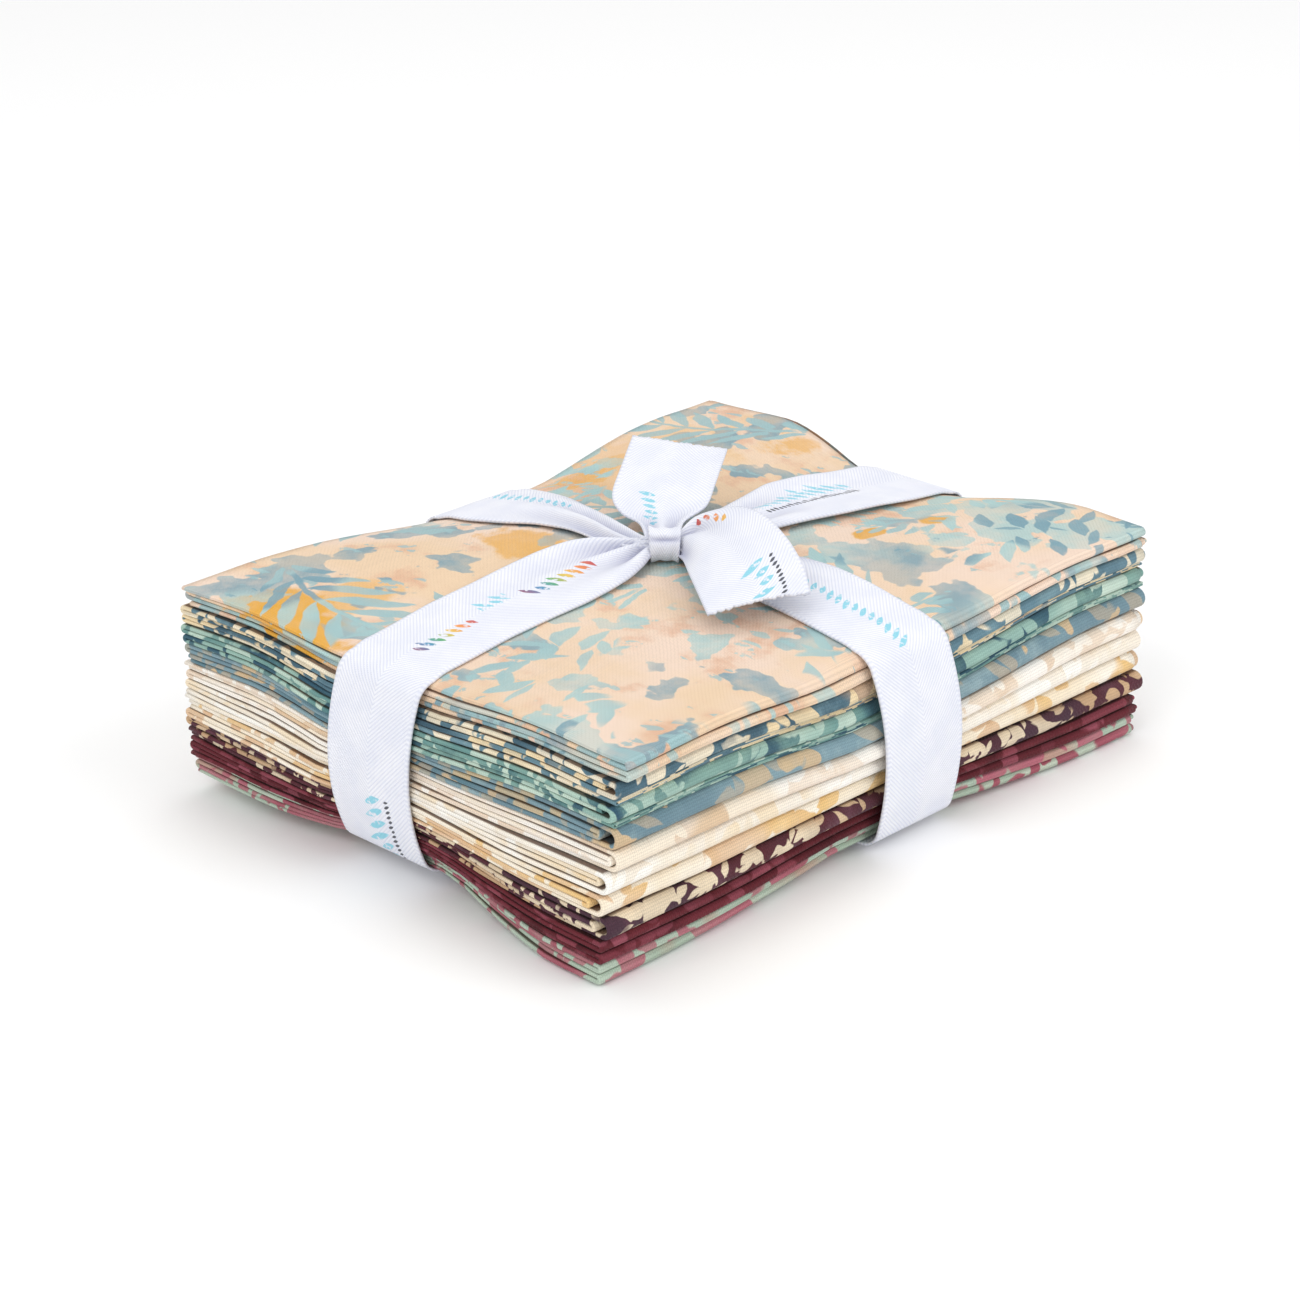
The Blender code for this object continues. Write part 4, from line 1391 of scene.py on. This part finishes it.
    def knot(self, start: float) -> Grid:
        """The knot's wrap: a short sleeve round the gathered strips, wider at its two mouths.

        With an angle round the sleeve and a share along it, the radius grows with the share's
        fourth power, and has one deep crease along it and shallow ones round it.

        Args:
            start: The place along the print where the wrap starts.

        Returns:
            The sleeve's grid, with painted shade along its deep crease.
        """
        turn = np.linspace(-0.2, 2 * math.pi + 0.2, 96)
        angle, share = np.meshgrid(turn, np.linspace(-1.0, 1.0, 30), indexing="ij")
        crease = np.exp(-(((angle - 2.5) / 0.22) ** 2)) * (1 - 0.5 * share**2)
        flare = 1 + 0.14 * share**4 + 0.03 * np.cos(share * 7.0 + 0.8 * np.sin(angle)) + 0.015 * angle
        flare = flare - 0.13 * crease
        radius_y, radius_z, reach = 2.7 * MM * flare, 2.6 * MM * flare, 2.7 * MM
        along = reach * share * (1 + 0.08 * np.sin(angle + 0.5))
        forward, aside = math.cos(self.knot_heading), math.sin(self.knot_heading)
        top = float(RELIEF.top(np.array(self.knot_at[0]), np.array(self.knot_at[1])))
        x = self.knot_at[0] + forward * along - aside * radius_y * np.cos(angle)
        y = self.knot_at[1] + aside * along + forward * radius_y * np.cos(angle)
        z = top + 3.5 * MM + radius_z * np.sin(angle)
        flat = np.stack([share * 5.0 * MM, start + angle * 2.7 * MM], -1)
        # painted shade along the knot's deep crease
        return Grid(np.stack([x, y, z], -1), flat, 1 - 0.8 * crease)

    def build(self) -> bpy.types.Object:
        """Makes the ribbon, dresses it, hangs it on the root body, and hides the CAD part that it stands in
        for.

        Returns:
            The ribbon's object.
        """
        rng = np.random.default_rng(7)
        paths = {
            "x": self.way_round("x", 0.0),
            "y": self.way_round("y", 1.0),
            "end_behind": self.free_end("end_behind", 2.0),
            "end_before": self.free_end("end_before", 3.0),
        }
        grids = [path.surface(41) for path in paths.values()]
        for grid in grids[2:]:
            ragged = rng.normal(0.0, 0.18 * MM, grid.points.shape[1])
            step = grid.points[-1] - grid.points[-2]
            grid.points[-1] += step / np.linalg.norm(step, axis=1)[:, None] * ragged[:, None]
        windows = []
        for strip, motif, first, last, across in PRINTS:
            ends = sorted(paths[strip].place_of(point) for point in (first, last))
            windows.append(Window(motif, ends[0], ends[1], across * MM))
        piece = mesh_piece("tied_ribbon", grids + [self.knot(4.0)])
        thicken(piece, self.thickness)
        piece.data.materials.append(HerringboneWhite(tuple(windows)).material())
        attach(piece, "root")
        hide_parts(self.node)
        return piece


def smooth_curve(points: np.ndarray, at: np.ndarray) -> np.ndarray:
    """A smooth curve through points, read at fractional places.

    Between two points it is the cubic that leaves each point along the line between that
    point's neighbours.

    Args:
        points: The points (count, 3).
        at: The places, where 0 is the first point and count - 1 the last.

    Returns:
        The curve's points (places, 3).
    """
    low = np.clip(np.floor(at).astype(int), 0, len(points) - 2)
    t = (at - low)[:, None]
    slope = np.gradient(points, axis=0)
    a, b, da, db = points[low], points[low + 1], slope[low], slope[low + 1]
    return (
        (2 * t**3 - 3 * t**2 + 1) * a
        + (t**3 - 2 * t**2 + t) * da
        + (-2 * t**3 + 3 * t**2) * b
        + (t**3 - t**2) * db
    )


# The runs on top, from their low rim over the knot to their high rim, in mm. On the run along X
# the first edge is the one at +Y. On the run along Y it is the one at -X.
RUN_COLUMNS = ("place", "across", "width", "rise", "pleat", "arch", "first_edge", "second_edge")
TOP_RUNS = {
    "x": [
        (-70.0, 3.0, 20.0, 0.0, 0.0, 0.0, 0.0, 0.0),
        (-57.0, 4.0, 20.0, 0.0, 0.0, 0.2, 0.0, 0.0),
        (-45.0, 5.2, 20.3, 0.0, 0.0, 0.3, 0.2, 0.0),
        (-35.0, 5.3, 20.3, 0.0, 0.0, 0.5, 0.4, 0.0),
        (-27.0, 5.1, 20.0, 0.1, 0.1, 0.7, 1.0, 0.0),
        (-20.0, 4.9, 18.4, 0.3, 0.2, 0.9, 1.7, 0.0),
        (-15.0, 4.4, 16.2, 0.6, 0.4, 0.9, 2.0, 0.1),
        (-11.5, 3.8, 13.5, 1.0, 0.7, 0.6, 1.8, 0.3),
        (-9.0, 3.0, 10.2, 1.6, 1.0, 0.3, 1.0, 0.2),
        (-7.0, 2.1, 6.4, 2.2, 1.0, 0.0, 0.3, 0.0),
        (-5.6, 1.1, 4.2, 2.8, 0.8, 0.0, 0.0, 0.0),
        (-3.5, -1.0, 3.6, 3.1, 0.8, 0.0, 0.0, 0.0),
        (-1.4, -3.1, 4.0, 2.8, 0.8, 0.0, 0.0, 0.0),
        (1.5, -3.0, 5.2, 2.1, 1.0, 0.0, 0.0, 0.0),
        (5.0, -1.8, 6.8, 1.5, 1.0, 0.2, 0.0, 0.0),
        (10.0, -0.3, 8.6, 1.0, 0.9, 0.4, 0.2, 0.0),
        (18.0, 0.5, 11.2, 0.6, 0.6, 0.6, 0.5, 0.1),
        (27.0, 0.7, 14.8, 0.3, 0.3, 0.8, 0.8, 0.3),
        (36.0, 0.7, 19.6, 0.2, 0.0, 0.5, 1.0, 0.5),
        (45.0, 0.1, 20.0, 0.2, 0.0, 0.3, 0.9, 0.4),
        (53.0, -0.9, 20.0, 0.1, 0.0, 0.2, 0.5, 0.2),
        (62.0, -1.0, 20.0, 0.0, 0.0, 0.0, 0.1, 0.0),
        (70.0, -1.0, 20.0, 0.0, 0.0, 0.0, 0.0, 0.0),
    ],
    "y": [
        (-54.0, 4.2, 20.0, 0.0, 0.0, 0.1, 0.0, 0.0),
        (-43.0, 4.0, 20.0, 0.0, 0.0, 0.3, 0.0, 0.0),
        (-33.0, 4.2, 20.4, 0.0, 0.0, 0.4, 0.0, 0.2),
        (-25.0, 4.2, 20.4, 0.1, 0.1, 0.6, 0.1, 0.4),
        (-18.0, 4.0, 18.4, 0.4, 0.4, 0.6, 0.3, 0.5),
        (-12.0, 2.8, 13.6, 0.9, 0.9, 0.4, 0.3, 0.3),
        (-8.0, 1.0, 8.8, 1.6, 1.1, 0.2, 0.0, 0.0),
        (-5.0, -0.6, 5.0, 2.4, 1.0, 0.0, 0.0, 0.0),
        (-3.1, -1.5, 4.0, 2.8, 0.8, 0.0, 0.0, 0.0),
        (-1.0, -3.5, 3.6, 3.1, 0.8, 0.0, 0.0, 0.0),
        (1.1, -5.4, 4.2, 2.8, 0.8, 0.0, 0.0, 0.0),
        (3.5, -5.6, 5.2, 2.3, 1.0, 0.0, 0.0, 0.0),
        (7.0, -4.7, 7.0, 1.7, 1.0, 0.2, 0.0, 0.0),
        (11.0, -3.6, 8.4, 1.2, 0.9, 0.6, 0.0, 0.0),
        (16.0, -2.2, 8.8, 0.8, 0.7, 1.0, 0.0, 0.2),
        (21.0, -1.1, 9.6, 0.5, 0.5, 1.3, 0.0, 0.3),
        (28.0, -0.9, 12.8, 0.2, 0.3, 1.6, 0.0, 0.4),
        (33.5, -1.8, 17.0, 0.1, 0.1, 1.4, 0.0, 0.3),
        (41.0, -2.2, 20.0, 0.0, 0.0, 1.0, 0.0, 0.1),
        (48.0, -2.4, 20.0, 0.0, 0.0, 0.5, 0.0, 0.0),
        (54.0, -1.3, 20.0, 0.0, 0.0, 0.0, 0.0, 0.0),
    ],
}
# Where each way's middle lies at the foot of its low side and of its high side, in mm
LOW_LINES = {"x": (3.0, -1.0), "y": (5.4, -1.3)}

# The print: strip, motif, first and last point, and how far off the ribbon's middle, in mm
PRINTS = [
    ("x", Motif.RAINBOW, (-59.5, 3.8, 39.5), (-45.5, 5.2, 40.0), 0.8),
    ("x", Motif.SPRIG, (-42.0, 5.3, 40.0), (-35.0, 5.3, 40.0), -1.5),
    ("x", Motif.RAINBOW, (-32.5, 5.2, 40.0), (-16.0, 4.5, 40.5), 0.8),
    ("x", Motif.BOLD_SPRIG, (-70.5, 3.0, 16.5), (-67.5, 3.0, 3.5), 0.5),
    ("x", Motif.BOLD_SPRIG, (24.0, 0.7, 40.5), (49.0, -0.4, 40.0), -2.5),
    ("y", Motif.SPRIG, (-2.4, 46.0, 39.5), (-0.9, 27.0, 40.0), 2.5),
    ("y", Motif.SPRIG, (4.2, -22.0, 40.0), (4.2, -50.0, 36.0), 0.5),
    ("end_behind", Motif.SPRIG, (3.0, 6.0, 43.5), (11.0, 13.0, 46.3), -3.0),
    ("end_before", Motif.WARM, (0.6, -4.0, 45.0), (-0.2, -10.0, 46.5), 5.0),
    ("end_before", Motif.BOLD_SPRIG, (-8.0, -24.5, 46.0), (-13.0, -32.5, 44.0), 1.5),
]

# The free ends: rows from the knot to the cut end, each a left and a right edge point, in mm
FREE_ENDS = {
    "end_behind": [
        ((-4.0, 3.0, 43.0), (0.5, -1.0, 43.2)),
        ((0.3, 9.0, 43.4), (6.3, 3.2, 43.6)),
        ((0.9, 14.0, 44.2), (12.6, 4.0, 45.0)),
        ((3.4, 18.8, 45.8), (18.4, 7.2, 46.8)),
        ((11.9, 24.6, 48.0), (22.4, 9.4, 48.7)),
        ((20.3, 30.0, 50.2), (26.4, 11.6, 50.5)),
    ],
    "end_before": [
        ((-3.4, -3.6, 42.6), (0.4, -1.6, 44.6)),
        ((-5.8, -7.2, 43.3), (6.4, -1.0, 46.4)),
        ((-9.3, -11.6, 43.9), (9.0, -6.4, 48.6)),
        ((-13.5, -16.8, 44.2), (7.4, -14.5, 49.5)),
        ((-17.2, -21.7, 44.1), (3.4, -23.5, 48.8)),
        ((-20.0, -25.6, 43.8), (-0.2, -30.6, 46.5)),
        ((-22.2, -28.8, 43.4), (-4.8, -36.4, 44.4)),
    ],
}


@dataclass(frozen=True)
class Studio:
    """A pale floor, soft lights and the camera, at the photograph's angle."""

    target: tuple[float, float, float] = (-0.25 * MM, 5.72 * MM, 20.2 * MM)
    azimuth: float = math.radians(-46.07)
    elevation: float = math.radians(23.05)
    distance: float = 590.0 * MM
    lens: float = 90.0

    def camera(self) -> None:
        """Places the camera."""
        data = bpy.data.cameras.new("camera")
        data.lens = self.lens
        data.sensor_width = 36.0
        data.clip_start = 0.01
        camera = bpy.data.objects.new("camera", data)
        flat = math.cos(self.elevation)
        away = Vector(
            (math.sin(self.azimuth) * flat, -math.cos(self.azimuth) * flat, math.sin(self.elevation))
        )
        camera.location = Vector(self.target) + away * self.distance
        camera.rotation_euler = away.to_track_quat("Z", "Y").to_euler()
        bpy.context.scene.collection.objects.link(camera)
        bpy.context.scene.camera = camera

    def floor(self) -> None:
        """Lays the floor, a smooth pale sheet."""
        side = np.linspace(-3.0, 3.0, 3)
        x, y = np.meshgrid(side, side)
        points = np.stack([x, y, np.full_like(x, -0.2 * MM)], -1)
        floor = mesh_piece("floor", [Grid(points, points[..., :2])])
        n = Nodes("pale_floor")
        shader = n.add(
            "ShaderNodeBsdfPrincipled", {}, {"Base Color": (0.97, 0.97, 0.97, 1.0), "Roughness": 0.9}
        )
        floor.data.materials.append(n.finish(shader))

    def lamp(self, name: str, place: tuple[float, float, float], size: float, power: float) -> None:
        """Adds a square soft light that faces the bundle."""
        data = bpy.data.lights.new(name, "AREA")
        data.size = size
        data.energy = power
        lamp = bpy.data.objects.new(name, data)
        lamp.location = place
        lamp.rotation_euler = (Vector(place) - Vector((0.0, 0.0, 0.02))).to_track_quat("Z", "Y").to_euler()
        bpy.context.scene.collection.objects.link(lamp)

    def light(self) -> None:
        """Lights the scene with a bright even sky and soft lamps."""
        world = bpy.data.worlds.new("soft_sky")
        world.use_nodes = True
        world.node_tree.nodes["Background"].inputs[0].default_value = (1.0, 1.0, 1.0, 1.0)
        world.node_tree.nodes["Background"].inputs[1].default_value = 0.70
        bpy.context.scene.world = world
        bpy.context.scene.view_settings.view_transform = "Standard"
        self.lamp("lamp_left", (-1.0, -0.2, 0.9), 0.8, 4.4)
        self.lamp("lamp_right", (0.4, -1.1, 0.9), 0.9, 5.4)
        self.lamp("lamp_above", (0.2, 0.3, 1.3), 0.9, 3.9)

    def build(self) -> None:
        """Builds the studio."""
        self.camera()
        self.floor()
        self.light()


def main() -> None:
    """Builds the bundle on its CAD frame, then the studio round it."""
    logging.basicConfig(level=logging.INFO, format="%(message)s")
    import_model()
    for cloth in CLOTHS:
        piece = cloth.build()
        log.info("%s: %d points", piece.name, len(piece.data.vertices))
    piece = TiedRibbon().build()
    log.info("%s: %d points", piece.name, len(piece.data.vertices))
    Studio().build()
    log.info("sizes written")


if __name__ == "__main__":
    main()
